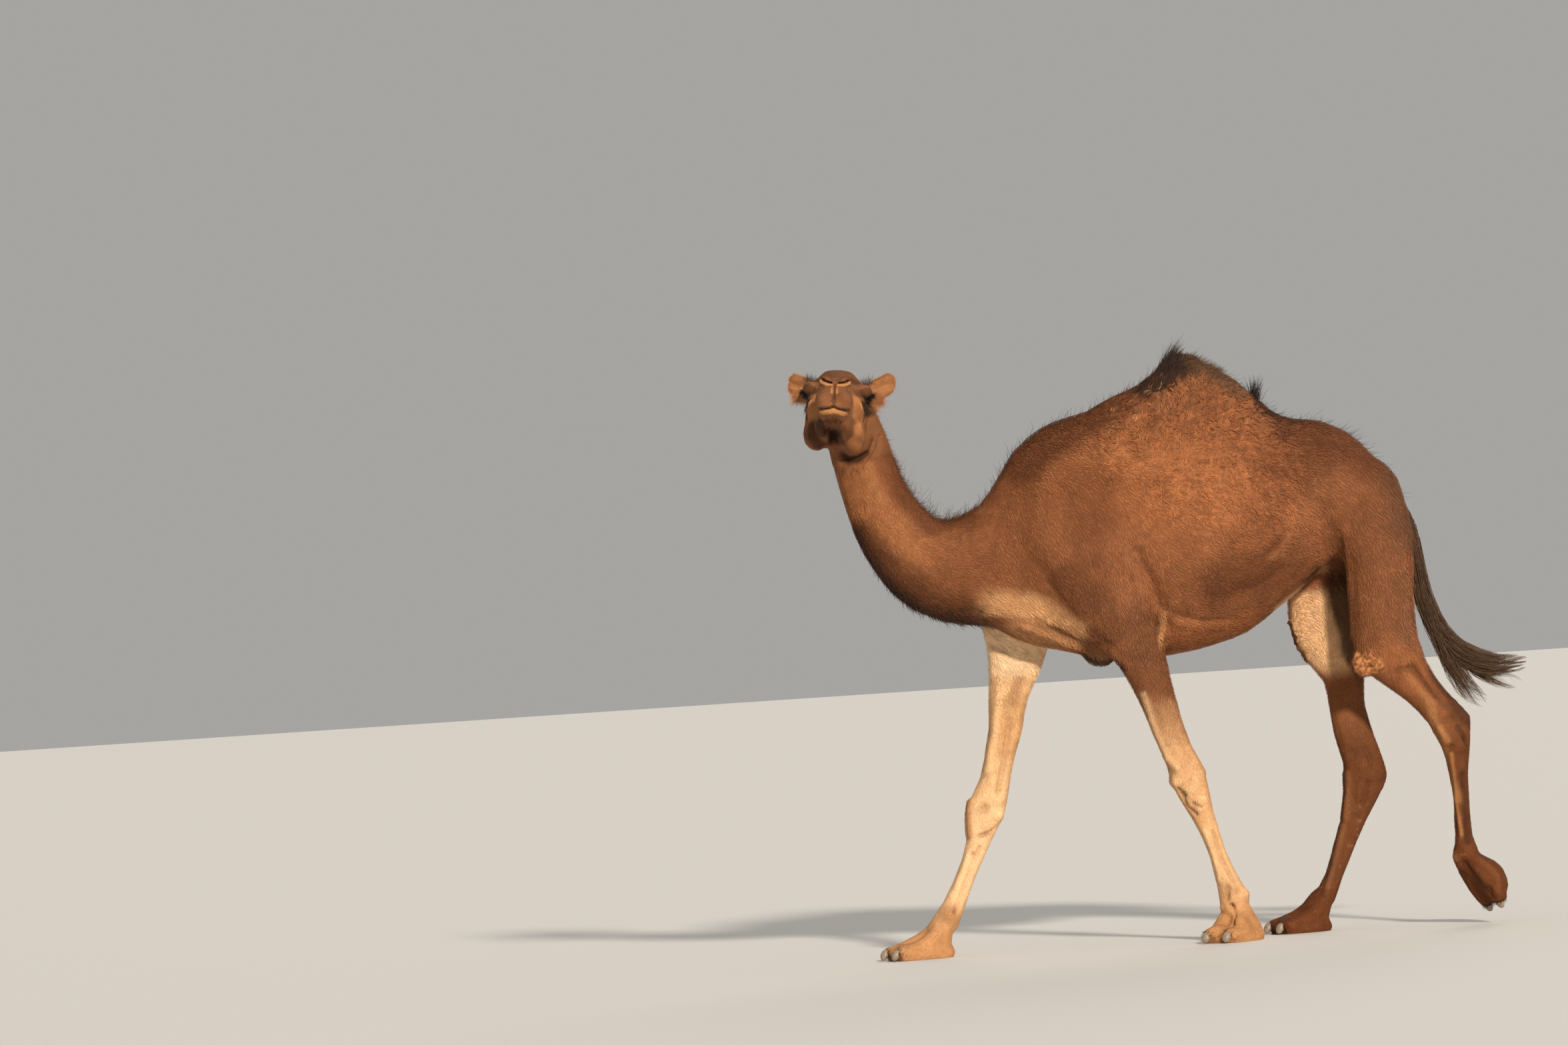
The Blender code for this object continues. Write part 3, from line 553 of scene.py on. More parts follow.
def leg_table(text):
    """Rows of path | width height | colour | strength in hundredths; a form without a colour has a dash."""
    found = []
    for path, size, shade, *strength in table(text):
        shade = TONES[shade] if shade in TONES else tone(*numbers(shade, "e0"))
        found.append((line_of(path), *numbers(size), shade, numbers(strength[0], "e-2")[0] if strength else 0))
    return found


# Each is repeated on the leg's other side, but not on the feet.
LEG_FORMS = {
    "fore_left": leg_table("""
        -94 -70 891, -56 -51 760, -26 -53 673, 4 -71 629 | 14 6 | TENDON | 35
        -25 -60 880, 10 -55 760, 45 -55 650 | 13 -6 | HOLLOW | 55
        20 -60 854, 106 -51 607 | 14 4.5 | HOLLOW | 25
        -124 -45 900, -92 -35 760, -60 -35 673, -34 -40 620 | 15 0 | 118 74 44 | 50
        2 -58 579 | 22 8.5 | TENDON | 50
        79 -79 588 | 24 6.5 | TENDON | 30
        93 -77 509 | 21 7 | TENDON | 40
        50 -75 545 | 20 5 | TENDON | 40
        79 -74 474 | 11 4.5 | TENDON | 20
        22 -66 532 | 13 -12 | SOOT | 75
        10 -63 552, 36 -56 488, 65 -65 461 | 7.5 -7 | CREASE | 75
        60 -70 500, 84 -72 486 | 7 -5 | CREASE | 45
        126 -65 393, 148 -66 292, 185 -72 212 | 9 -5.5 | HOLLOW | 50
        93 -61 395, 121 -54 293, 135 -51 221 | 10 4 | TENDON | 50
        227 -62 166 | 24 8.5 | -
        153 -68 157, 163 -70 190 | 13 -7.5 | HOLLOW | 50
        140 -43 121 | 12 5 | -
        205 -80 215, 190 -75 180 | 12 -4 | HOLLOW | 35
        171 -75 125, 172 -94 78, 157 -120 40, 130 -130 20 | 9.5 -14 | CREASE | 85
        89 -105 42, 120 -85 60 | 22 6 | -
        191 -107 77, 205 -110 50 | 26 7 | -
    """),
    "fore_right": leg_table("""
        -564 217 976, -596 229 792, -627 229 651 | 16 6 | TENDON | 50
        -538 215 832, -578 219 648, -598 216 578 | 12 -7 | HOLLOW | 30
        -500 215 860, -545 219 660 | 14 4.5 | -
        -500 213 980, -520 213 900 | 20 -4 | HOLLOW | 40
        -695 254 548, -705 243 492, -707 238 427 | 11 6 | 176 118 72 | 70
        -594 232 491 | 21 7 | TENDON | 30
        -592 220 549 | 21 6 | TENDON | 30
        -652 216 524 | 20 -6 | HOLLOW | 40
        -671 225 425, -627 230 436, -590 232 455 | 9 -5 | HOLLOW | 60
        -674 227 383, -741 226 244, -783 218 161 | 9 -5.5 | HOLLOW | 50
        -718 235 357, -768 235 246 | 12 4.5 | TENDON | 40
        -800 225 150 | 30 6 | HOLLOW | 50
        -700 228 365 | 8 0 | HOLLOW | 50
    """),
    "hind_left": leg_table("""
        820 -80 925, 870 -78 930, 930 -66 850, 985 -60 780 | 14 -6.5 | CREASE | 45
        905 -80 957, 931 -77 879, 957 -78 801 | 16 5 | -
        1058 -61 740 | 22 8 | -
        1000 -77 737 | 18 -9 | CREASE | 50
        1024 -52 796, 1045 -55 765 | 11 5.5 | -
        1040 -71 627 | 16 6.5 | -
        981 -67 661, 960 -67 700 | 16 6 | GOLD | 40
        1022 -66 705, 1040 -66 680, 1055 -63 650 | 11 -6 | SOOT | 45
        1000 -68 640, 975 -66 625 | 10 -5 | CREASE | 50
        994 -68 610, 1003 -45 445, 1014 -63 322 | 9 4.5 | GOLD | 45
        1035 -65 535, 1041 -62 381, 1036 -65 300 | 15 -5.5 | SOOT | 55
        998 -36 240, 992 -36 215 | 22 7 | GOLD | 30
        1024 -70 215, 1040 -80 175, 1062 -85 125, 1085 -90 95 | 17 -9 | SOOT | 80
        1094 -100 119, 1100 -100 85 | 16 -6 | SOOT | 50
        1066 -86 230, 1105 -95 205, 1128 -100 162, 1125 -100 110 | 14 6 | 164 104 62 | 60
    """),
    "hind_right": leg_table("""
        787 222 546 | 24 8 | -
        674 241 554, 655 239 400 | 14 5 | 150 96 60 | 50
        700 238 520, 690 236 400 | 11 -5.5 | CREASE | 20
        687 228 429 | 18 6 | 140 88 54 | 15
        734 217 581 | 18 5.5 | 150 94 58 | 15
        691 224 630 | 18 -5 | CREASE | 40
        745 220 640, 760 220 600 | 12 -6 | CREASE | 50
        740 222 520, 720 225 450 | 12 -5.5 | SOOT | 15
        646 242 370, 606 236 249, 563 218 129 | 12 4 | 142 94 62 | 50
        620 240 250, 585 222 150 | 10 -4 | CREASE | 40
    """),
}


def leg_forms(leg):
    """Each form of a leg, then the same on its other side where it isn't on the foot."""
    middle = centre_of("cannon_" + leg)[1]
    for path, *rest in LEG_FORMS[leg]:
        yield (path, *rest)
        if path[0][2] > 0.24:
            yield ([(x, 2 * middle - y, z) for x, y, z in path], *rest)


def crusted(points):
    """1 on the calluses of the knee folds."""
    round_spot = reach(points, [STIFLE]) * (1 + 0.25 * noise(points, 0.030, 83))
    edge = reach(points, CRUST) * (1 + 0.3 * noise(points, 0.020, 84))
    return np.maximum(1 - ramp(round_spot, 0.044, 0.062), 1 - ramp(edge, 0.012, 0.024))


def eye_opening(points):
    """How far out of the lids' opening each point lies, 1 at the lid's edge and large far away; then its
    distance, offset, side of the head and direction from the eye."""
    local = to_head(points)
    sign = np.where(local[:, 1] > 0, 1.0, -1.0)
    rel = np.c_[local[:, 0], local[:, 1] * sign, local[:, 2]] - EYE
    far = np.linalg.norm(rel, axis=1)
    way = rel / np.maximum(far, 1e-6)[:, None]
    out = unit(np.array([0.50, 0.85, -0.12]))
    rise = np.array([0.12, 0.06, 1.0])
    rise = unit(rise - out * (out @ rise))
    along = np.cross(out, rise)
    x, y = way @ along, way @ rise
    y = y + 0.06 + 0.22 * x * np.sign(along[0])
    low = np.where(y > 0, 0.46, 0.40)
    gap = np.sqrt((x / 0.80) ** 2 + (y / low) ** 2)
    gap = np.where((way @ out > 0.0) & (far < 0.06), gap, 9.0)
    return gap, far, rel, sign, way


def open_eyes(surface):
    """Lays the lids round the eyeball and sinks the skin behind it inside their opening."""
    gap, far, _, sign, way = eye_opening(surface.points)
    inside = ramp(gap, 1.02, 0.80)
    lid = ramp(gap, 2.1, 1.25)
    want = far * (1 - lid) + (EYE_RADIUS + 0.0022) * lid
    want = want * (1 - inside) + (EYE_RADIUS - 0.0040) * inside
    want = np.where(gap < 3, want, far)
    rel = way * want[:, None] + EYE
    moved = of_head(np.c_[rel[:, 0], rel[:, 1] * sign, rel[:, 2]])
    hot = gap < 3
    surface.points[hot] = moved[hot]


BODY_RELIEF, LEG_RELIEF = 1.35, 1.5  # the tables' heights are raised by these
for path, width, height in BODY_FORMS:
    press(surface, path, width, BODY_RELIEF * height)
for leg in LEG_FORMS:
    for path, width, height, _, _ in leg_forms(leg):
        press(surface, path, width, LEG_RELIEF * height)
rough = 0.0050 + 0.0070 * noise(surface.points, 0.020, 81) + 0.0040 * noise(surface.points, 0.0095, 82)
surface.points += surface.normals() * (crusted(surface.points) * rough)[:, None]


def on_head_only(surface, places):
    """These places for points near the head, and far-off ones for all others."""
    return np.where((surface.points[:, 0] < -0.85)[:, None], places, 9.0)


local = folded(to_head(surface.points))
for path, width, height in HEAD_FORMS:
    press(surface, path, width, height, on_head_only(surface, local))
for path, width, distance, way in HEAD_SHIFTS:
    press(surface, path, width, distance, on_head_only(surface, to_head(surface.points)), np.array(way) @ AXES)


def ear_frame(sign):
    """In the head's frame: an ear's root, and the ways out along it, across it and square to its hollow."""
    out = unit([-0.24 + 0.12 * sign, sign * 0.92, 0.27])
    face = unit([0.85, sign * 0.25, 0.10])
    return np.array([-0.066, sign * 0.092, 0.138]), out, unit(np.cross(face, out)) * sign, face


for sign in (1, -1):  # each ear: broad and blunt, deeper below, with a hollow that faces forward
    root, out, rise, face = ear_frame(sign)
    mine = is_part(part, "ear_left" if sign > 0 else "ear_right", "head") & (surface.points[:, 0] < -0.8)
    rel = to_head(surface.points) - root
    u, v = rel @ out, rel @ rise
    share = mine * ramp(u, 0.012, 0.045) * (np.abs(v) < 0.06)
    blunt = ramp(u, 0.070, 0.108)
    wide = np.where(v > 0, 0.10 + 0.55 * blunt, 0.50 + 0.35 * blunt)
    lift = (0.16 if sign > 0 else 0.06) * (u - 0.01) + (0.006 if sign > 0 else 0.004) * ramp(u, 0.04, 0.09)
    surface.points += (share * (v * wide + lift))[:, None] * (rise @ AXES)
    surface.points += (share * (0.004 if sign > 0 else -0.010) * blunt)[:, None] * (out @ AXES)
    local = to_head(surface.points)
    turn = out + rise * (0.16 if sign > 0 else 0.06)
    path = [root + turn * t + face * 0.014 - rise * 0.004 for t in (0.035, 0.065, 0.098)]
    press(surface, path, 0.0150, -0.0130, local)
swell = noise(surface.points, 0.10, 41) * 0.0022 * (1 - fine_of(surface.points))
surface.points += surface.normals() * swell[:, None]
open_eyes(surface)
surface.points[:, 2] = np.maximum(surface.points[:, 2], GROUND)

# ---------------------------------------------------------------- where the coat is woolly or dusty
def dusty(points):
    """The share of tufts that are caked with pale dust."""
    flat = points[:, [0, 2]]
    front = close_to(flat, ((-0.18, 1.76), (-0.12, 1.84), (-0.02, 1.92), (0.06, 1.96)), 0.03, 0.10)
    flank = close_to(flat, ((0.00, 1.72), (0.30, 1.62), (0.46, 1.60)), 0.04, 0.16)
    belly = close_to(flat, ((0.00, 1.01), (0.20, 1.04), (0.40, 1.14), (0.52, 1.26)), 0.02, 0.05)
    fold = close_to(flat, ((-0.02, 1.20), (-0.02, 1.08)), 0.01, 0.02)
    edge = close_to(flat, ((0.65, 1.42), (0.67, 1.22)), 0.008, 0.018)
    return 0.17 * front + 0.045 * flank + 0.14 * belly + 0.08 * fold + 0.25 * edge


def curliness(points):
    """1 where the coat is woolly: over the hump and the top of the flank."""
    flat = points[:, [0, 2]] + 0.03 * np.c_[noise(points, 0.12, 5), noise(points, 0.12, 6)]
    path = ((-0.07, 1.78), (0.12, 1.90), (0.28, 1.82), (0.42, 1.72), (0.36, 1.56), (0.10, 1.62))
    return close_to(flat, path, 0.06, 0.20)


# ---------------------------------------------------------------- markings
# Patches, with paths in the side view (x z).
BROWN = tone(150, 93, 57)
# Among them, painted shade: along the fold over the chest (112 68 40), in the flank's hollow (100 60 36), and
# under the belly's rear edge on the near side (62 34 17).
TRUNK_PATCHES = patches_of("""
    170 106 64 | -100 1600, 100 1660, 300 1520 | 300 | 90
    152 92 54 | 50 1840, 160 1880, 250 1820 | 140 | 80
    126 75 43 | -270 1320, -250 1460, -250 1620 | 130 | 75
    160 101 64 | -140 1240, -100 1360, -140 1440 | 80 | 70
    120 74 45 | -60 1060, -100 1150 | 90 | 70
    112 66 38 | -360 1330, -260 1250, -200 1140 | 60 | 65
    220 165 113 | -640 1262, -560 1268, -480 1238, -400 1188, -340 1140 | 53 | 100
    192 136 90 | -520 1170, -420 1130, -340 1100 | 40 | 90
    112 68 40 | -455 1182, -376 1130, -313 1103, -255 1088 | 10 | 60
    196 140 90 | -24 1185, -26 1085 | 16 | 95
    70 40 24 | -285 1020, -230 998, -170 1000 | 34 | 95
    108 63 36 | -470 1720, -400 1800, -290 1870, -80 1940 | 72 | 85
    134 81 47 | 20 1900, 120 1940, 220 1930 | 90 | 80
    58 35 22 | -10 1985, 50 2005, 100 2030, 160 2035 | 56 | 97
    66 40 26 | 20 2050, 100 2085, 170 2080 | 46 | 95
    106 72 48 | 200 2060, 210 2050, 270 2010, 340 1950 | 44 | 95
    70 41 23 | 410 1910, 450 1890, 500 1860 | 44 | 85
    62 34 17 | 530 1262, 560 1300 | 16 | 80 near
    78 45 25 | 420 1900, 480 1870, 600 1840 | 45 | 85
    92 54 32 | 460 1800, 520 1840 | 55 | 60
    114 67 40 | 500 1660, 560 1740, 660 1780, 780 1700 | 130 | 80
    106 72 50 | 840 1580, 880 1400 | 80 | 75
    136 81 47 | 420 1660, 380 1520, 300 1400 | 110 | 65
    110 64 37 | 180 1270, 340 1290, 440 1360 | 100 | 80
    170 110 70 | 470 1420, 430 1375, 390 1345 | 18 | 60
    166 102 60 | 50 1060, 300 1120 | 60 | 80
    182 116 70 | 10 1140, 80 1130 | 30 | 60
    150 92 58 | 520 1420, 460 1360 | 60 | 50
    100 60 36 | 600 1520, 620 1420, 640 1340 | 22 | 35
    136 84 51 | 740 1460, 750 1300, 760 1100 | 110 | 70
    128 84 56 | 860 1250, 850 1050 | 50 | 60
""")
# Patches of the neck. Its underside darkens downward to near black: partly the dark hair there, partly painted
# shade under the neck.
NECK_PATCHES = patches_of("""
    172 110 66 | -1060 1720, -1000 1580, -900 1450 | 85 | 90
    120 71 42 | -930 1800, -900 1660, -820 1560, -660 1550 | 55 | 80
    90 51 27 | -1060 1500, -960 1360, -840 1270, -700 1220 | 85 | 80
    48 24 11 | -1110 1520, -1020 1350, -900 1220, -770 1160 | 60 | 90
    140 84 50 | -740 1340, -640 1360 | 90 | 60
    190 128 80 | -1015 1760, -1005 1700, -985 1640 | 20 | 60
""")


def tinted(colour, shade, share):
    """Moves each point's colour toward this one by its share."""
    colour += (shade - colour) * share[:, None]


def painted(colour, flat, patches, far, only):
    """Lays these patches over the colour of the points that are chosen."""
    for shade, path, width, strength, near in patches:
        share = strength * close_to(flat, path, width * 0.35, width * 1.25)
        if near:
            share = share * ~far
        tinted(colour, shade, share * only)


def fore_markings(colour, points, which, x, z):
    """Brown above and pale below; the far leg's inner side is pale up to the armpit. The near leg carries
    painted shade below the elbow, and the far arm's top painted light.
    """
    y = points[:, 1]
    far = y > MID
    fore = is_part(which, "upper_fore", "cannon_fore", "foot_fore")
    upward = fore | (is_part(which, "trunk") & (points[:, 0] < 0.1))
    lean = z + 0.35 * (x - np.interp(z, (0.0, 0.2, 0.55, 0.95), (0.15, 0.16, 0.05, -0.08)))
    near_pale = (0.45 * ramp(-lean, -0.93, -0.80) + 0.55 * ramp(-lean, -0.80, -0.68)) * (fore & ~far)
    inner = 0.6 * (upward & ~far) * ramp(-z, -1.08, -0.98) * ramp(y, MID - 0.11, MID - 0.06)
    near_pale = np.maximum(near_pale, inner)
    outer = ramp(y, MID + 0.145, MID + 0.190)
    far_pale = (1 - outer) * ramp(-z, -1.20, -1.12) + outer * ramp(-z, -1.02, -0.76)
    far_pale = far_pale * (far & upward) * np.where(fore, 1.0, ramp(-points[:, 0], 0.27, 0.36))
    # Painted shade on the upper part of the near leg, below the elbow.
    elbow = (upward & (y < MID - 0.05)) * ramp(-z, -1.14, -0.94) * ramp(-x, -0.09, -0.02)
    tinted(colour, tone(96, 58, 34), 0.42 * elbow)
    tinted(colour, tone(224, 174, 124), 0.97 * near_pale)
    tinted(colour, tone(232, 186, 136), near_pale * ramp(-z, -0.50, -0.34))
    tinted(colour, tone(238, 194, 144), 0.97 * far_pale)
    # Painted light: the top of the far arm, where the chest casts its shadow, is lightened further.
    tinted(colour, tone(250, 216, 172), far_pale * ramp(z, 0.96, 1.03))
    tinted(colour, tone(222, 172, 120), far_pale * ramp(-z, -0.98, -0.86) * ramp(z, 0.62, 0.76))
    tinted(colour, tone(242, 198, 150), far_pale * ramp(-z, -0.62, -0.46))
    cloudy = ramp(noise(points, 0.05, 61) + 0.4 * noise(points, 0.02, 62), 0.25, 0.9)
    tinted(colour, tone(180, 132, 90), fore * cloudy * 0.30)


def hind_markings(colour, points, which, x, z):
    """Brown, with a golden shin, a dark heel and pale inner thighs; the far thigh is dark behind, a painted
    shadow of the near leg.
    """
    y, flat = points[:, 1], np.c_[x, z]
    far = y > MID
    hind = is_part(which, "upper_hind", "cannon_hind", "foot_hind")
    tinted(colour, tone(138, 84, 49), hind * 0.8 * ramp(-z, -0.98, -0.80))
    tinted(colour, tone(106, 60, 30), hind * 0.88 * ramp(-z, -0.78, -0.62))
    shin = close_to(flat, line_of("840 950, 900 840, 955 730, 985 620, 1000 450"), 0.006, 0.030)
    tinted(colour, tone(190, 132, 82), 0.55 * (hind & ~far) * shin)
    heel = close_to(flat, ((0.96, 0.90), (1.02, 0.80), (1.06, 0.74)), 0.010, 0.045)
    tinted(colour, tone(74, 44, 27), 0.8 * (hind & ~far) * heel)
    fleck = ramp(noise(points, 0.012, 63), 0.45, 0.8) * ramp(-z, -0.60, -0.40)
    tinted(colour, tone(166, 112, 74), 0.55 * hind * fleck)
    thigh = is_part(which, "trunk", "upper_hind") & (points[:, 0] > 0.40)
    inside = np.where(far, MID + 0.155 - y, y - MID + 0.125)
    pale = ramp(inside, 0.0, 0.05) * ramp(-z, -1.255, -1.205) * ramp(z, 0.88, 0.97)
    tinted(colour, tone(242, 196, 146), 0.95 * thigh * pale)
    udder = close_to(points, ((0.598, 0.160, 1.302), (0.632, 0.160, 1.288)), 0.014, 0.030)
    tinted(colour, tone(206, 148, 102), 0.9 * thigh * udder)
    # Painted shadow: the near leg's shadow on the far thigh, dark behind this slanting line.
    behind = x - np.interp(z, (0.86, 1.00, 1.10, 1.26), (0.722, 0.684, 0.656, 0.622))
    strip = ramp(inside, -0.01, 0.03) * ramp(behind, -0.012, 0.014)
    strip = strip * ramp(z, 0.84, 0.93) * ramp(-z, -1.33, -1.27)
    tinted(colour, tone(74, 43, 25), 0.88 * (thigh & far) * strip)
    keel = close_to(flat, ((-0.300, 1.020), (-0.235, 0.996), (-0.170, 0.998)), 0.018, 0.036)
    tinted(colour, tone(74, 42, 24), 0.9 * is_part(which, "trunk") * keel)
    shank = close_to(flat, ((0.78, 1.00), (0.85, 0.94), (0.89, 0.88)), 0.02, 0.07)
    tinted(colour, tone(172, 106, 62), 0.6 * (thigh & ~far) * shank)
    pits = ramp(noise(points, 0.0085, 82) + 0.5 * noise(points, 0.004, 85), -0.35, 0.45)[:, None]
    near_crust = tone(200, 136, 86) * pits + tone(132, 80, 46) * (1 - pits)
    crust = np.where(far[:, None], tone(96, 56, 32), near_crust)
    tinted(colour, crust, 0.92 * crusted(points))


def markings(points, which):
    """The colour of skin and coat at these points."""
    colour = np.tile(BROWN, (len(points), 1))
    flat = points[:, [0, 2]] + 0.020 * np.c_[noise(points, 0.09, 1), noise(points, 0.09, 2)]
    far = points[:, 1] > MID
    x, z = flat.T
    painted(colour, flat, TRUNK_PATCHES, far, is_part(which, "trunk", "hump", "neck", "upper"))
    painted(colour, flat, NECK_PATCHES, far, is_part(which, "neck", "trunk", "head"))
    fore_markings(colour, points, which, x, z)
    hind_markings(colour, points, which, x, z)
    # Colours along the legs' forms, among them painted shade in their creases, folds and hollows.
    for leg in LEG_FORMS:
        mine = is_part(which, "upper_" + leg, "cannon_" + leg, "foot_" + leg)
        for path, width, _, shade, strength in leg_forms(leg):
            if shade is not None:
                near = close_to(points, path, width * 0.5, width * 1.6)
                tinted(colour, shade, min(1.0, 1.25 * strength) * mine * near)
    foot = is_part(which, "foot_fore", "cannon_fore")
    tinted(colour, tone(190, 130, 78), foot * 0.8 * ramp(-z, -0.24, -0.06))
    tinted(colour, tone(104, 56, 27), is_part(which, "foot_hind") * 0.7)
    tail = is_part(which, "tail")
    tinted(colour, tone(92, 62, 42), tail * ramp(-z, -1.60, -1.45))
    tinted(colour, tone(58, 42, 29), tail * ramp(-z, -1.42, -1.25))
    # Soft mottling, and wool bleached by the sun.
    colour *= (1 + 0.08 * noise(points, 0.055, 65) + 0.07 * noise(points, 0.018, 66))[:, None]
    wool = curliness(points) * is_part(which, "trunk", "hump")
    colour *= (1 + wool * (0.22 * noise(points, 0.016, 67) + 0.12 * noise(points, 0.034, 68)))[:, None]
    return face_markings(colour, points, which)


# As above, with paths in the head's frame (forward, side, up): the same on both sides, then painted light and
# shade on one side alone.
# Among these, painted shade: in the recess between the jaw lobes (74 41 23, 44 24 13), in the nostrils' slits
# (14 7 5), and along the two grooves down the sides of the face below the eyes (52 30 19, 84 52 33).
HEAD_PATCHES = patches_of("""
    112 70 44 | -50 0 205, 20 0 190, 80 0 165 | 60 | 70
    72 44 29 | 40 50 164, 0 75 163 | 24 | 75
    118 80 54 | 140 0 145, 280 0 128 | 28 | 80
    124 83 55 | 320 0 122, 345 0 105 | 20 | 70
    108 69 44 | 346 4 102, 338 30 110, 330 44 112 | 12 | 70
    100 66 43 | 75 80 112, 20 116 122, -30 120 118 | 24 | 75
    66 40 25 | 90 88 60, 55 102 56, 10 114 62 | 22 | 95
    30 17 11 | 48 100 95, 20 118 94, -10 122 98, -42 118 106 | 19 | 97
    156 104 66 | 56 82 136, 26 104 144 | 10 | 60
    206 148 98 | 123 88 66, 111 93 44 | 5 | 90
    196 138 90 | 72 106 32, 20 116 38 | 5 | 85
    52 30 19 | 35 99 28, 54 93 3, 34 96 -23, 38 89 -43 | 4.5 | 90
    84 52 33 | 4 109 26, 12 107 0, -2 109 -30 | 4 | 70
    184 122 75 | 130 80 30, 85 94 10, 75 92 -15 | 30 | 80
    176 116 70 | 20 85 -85, 50 75 -70 | 24 | 50
    194 130 80 | 130 70 75, 220 56 65 | 26 | 75
    116 80 55 | 362 26 58, 350 44 45 | 20 | 50
    160 106 66 | 362 16 12, 345 46 10 | 14 | 60
    92 62 42 | 368 0 36, 368 0 14 | 10 | 65
    196 138 90 | NOSE_RIM 5 | 5.5 | 95
    206 150 98 | 366 8.5 70, 371 8.5 46 | 3 | 80
    84 52 34 | 354 0 80, 362 0 56, 363 0 30 | 3.4 | 80
    14 7 5 | NOSTRIL -8 | 5.6 | 100
    204 142 90 | 366 0 -15, 356 32 -19, 344 48 -14 | 10 | 92
    22 11 7 | LIPS -6 | 5.2 | 97
    16 8 5 | 366 0 -1.5, 366 10 -6 | 4.2 | 95
    74 40 21 | 346 0 -44, 320 28 -50 | 13 | 80
    74 41 23 | 325 0 -50, 220 0 -48, 100 0 -45, 30 0 -60 | 26 | 85
    44 24 13 | 225 0 -28, 160 0 -30, 100 0 -38, 45 0 -52 | 25 | 90
    128 76 44 | 0 0 -78, -30 20 -100 | 30 | 50
""")
# Painted light and shade from the key light, which falls from the head's left. Painted shade lies over the
# right jaw lobe, between the lobes, on the throat below them, on the neck behind the left lobe and in the
# crease behind the left jaw. A painted shadow lies under the left lobe. Painted highlights lie on the left
# cheek and the left lobe's lower edge.
HEAD_LIGHT_AND_SHADE = patches_of("""
    62 30 14 | 249 -50 -40, 160 -40 -60, 78 -74 -28, 60 -68 -55, 35 -50 -73 | 34 | 82
    92 53 30 | -42 161 -19, -43 157 -51, -42 144 -84, -47 127 -111 | 5.5 | 65
    208 146 94 | 123 68 18, 96 79 8, 69 90 -8 | 9 | 50
    60 33 18 | -42 30 -100, -50 55 -106, -50 85 -100, -42 108 -78 | 21 | 92
    96 58 34 | -30 122 -60, -20 126 -20 | 10 | 70
    84 48 28 | 160 20 -52, 90 24 -62, 45 34 -76 | 10 | 75
    70 40 22 | -75 -20 -120, -100 -10 -170 | 22 | 75
    176 116 70 | 45 60 -85, 30 85 -80 | 16 | 70
""")


def face_markings(colour, points, which):
    local = to_head(points)
    head = is_part(which, "head")
    tinted(colour, tone(140, 91, 57), head * 0.9)
    # The first table is laid on both sides alike; the second, painted light and shade, on one side only.
    for places, patches in ((folded(local), HEAD_PATCHES), (local, HEAD_LIGHT_AND_SHADE)):
        for shade, path, width, strength, _ in patches:
            tinted(colour, shade, head * strength * close_to(places, path, width * 0.45, width * 1.3))
    tinted(colour, tone(180, 121, 76), is_part(which, "ear") * 0.92)
    return colour


# ---------------------------------------------------------------- materials
def material(name, roughness, bump, size, shine):
    """The tint of the points times a fine grain of this size, which also raises the bump."""
    m = bpy.data.materials.new(name)
    m.use_nodes = True
    nodes, links = m.node_tree.nodes, m.node_tree.links
    shader = nodes["Principled BSDF"]
    shader.inputs["Roughness"].default_value = roughness
    shader.inputs["Specular IOR Level"].default_value = shine
    colour = nodes.new("ShaderNodeAttribute")
    colour.attribute_name = "tint"
    grain = nodes.new("ShaderNodeTexNoise")
    grain.inputs["Scale"].default_value = 1 / size
    grain.inputs["Detail"].default_value = 4
    spread = nodes.new("ShaderNodeMapRange")
    spread.inputs["From Min"].default_value, spread.inputs["From Max"].default_value = 0.3, 0.7
    spread.inputs["To Min"].default_value, spread.inputs["To Max"].default_value = 0.80, 1.16
    place = nodes.new("ShaderNodeTexCoord")
    mix = nodes.new("ShaderNodeMix")
    mix.data_type, mix.blend_type = "RGBA", "MULTIPLY"
    mix.inputs["Factor"].default_value = 1.0
    links.new(place.outputs["Object"], grain.inputs["Vector"])
    links.new(grain.outputs["Fac"], spread.inputs["Value"])
    links.new(colour.outputs["Color"], mix.inputs["A"])
    links.new(spread.outputs["Result"], mix.inputs["B"])
    links.new(mix.outputs["Result"], shader.inputs["Base Color"])
    if bump:
        rise = nodes.new("ShaderNodeBump")
        rise.inputs["Distance"].default_value = bump
        links.new(grain.outputs["Fac"], rise.inputs["Height"])
        links.new(rise.outputs["Normal"], shader.inputs["Normal"])
    return m


def set_tint(obj, colour):
    """Gives each point its colour; one colour is given to all."""
    colour = np.broadcast_to(colour, (len(obj.data.vertices), 3))
    layer = obj.data.color_attributes.new("tint", "FLOAT_COLOR", "POINT")
    full = np.c_[np.clip(colour, 0, 1), np.ones(len(colour))].astype(np.float32)
    layer.data.foreach_set("color", full.reshape(-1))


def finished(obj, slot, look, *replaced):
    """Hangs a piece on the body, dresses it, and hides the CAD nodes that it replaces."""
    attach(obj, "root")
    obj.data.materials.clear()
    obj.data.materials.append(look)
    if replaced:
        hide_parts(*replaced)


FUR = material("fur", 0.72, 0, 0.030, 0.25)
HIDE = material("hide", 0.82, 0.0022, 0.0035, 0.15)
HAIR = material("long_hair", 0.55, 0, 0.02, 0.4)
HORN = material("nail", 0.42, 0.0006, 0.010, 0.5)
WET = material("eyeball", 0.10, 0, 0.01, 0.07)

SKIN_TRIANGLES = 195000
SHADE = 0.96  # the skin is this much darker than the coat over it
surface.write(skin.data)
skin.data.update()
thinner = skin.modifiers.new("thin", "DECIMATE")
thinner.ratio = SKIN_TRIANGLES / len(surface.tri)
applied(skin)
co = points_of(skin.data)
set_tint(skin, markings(co, node_numbers(co)) * SHADE)
finished(skin, "coat", HIDE, *FLESH)

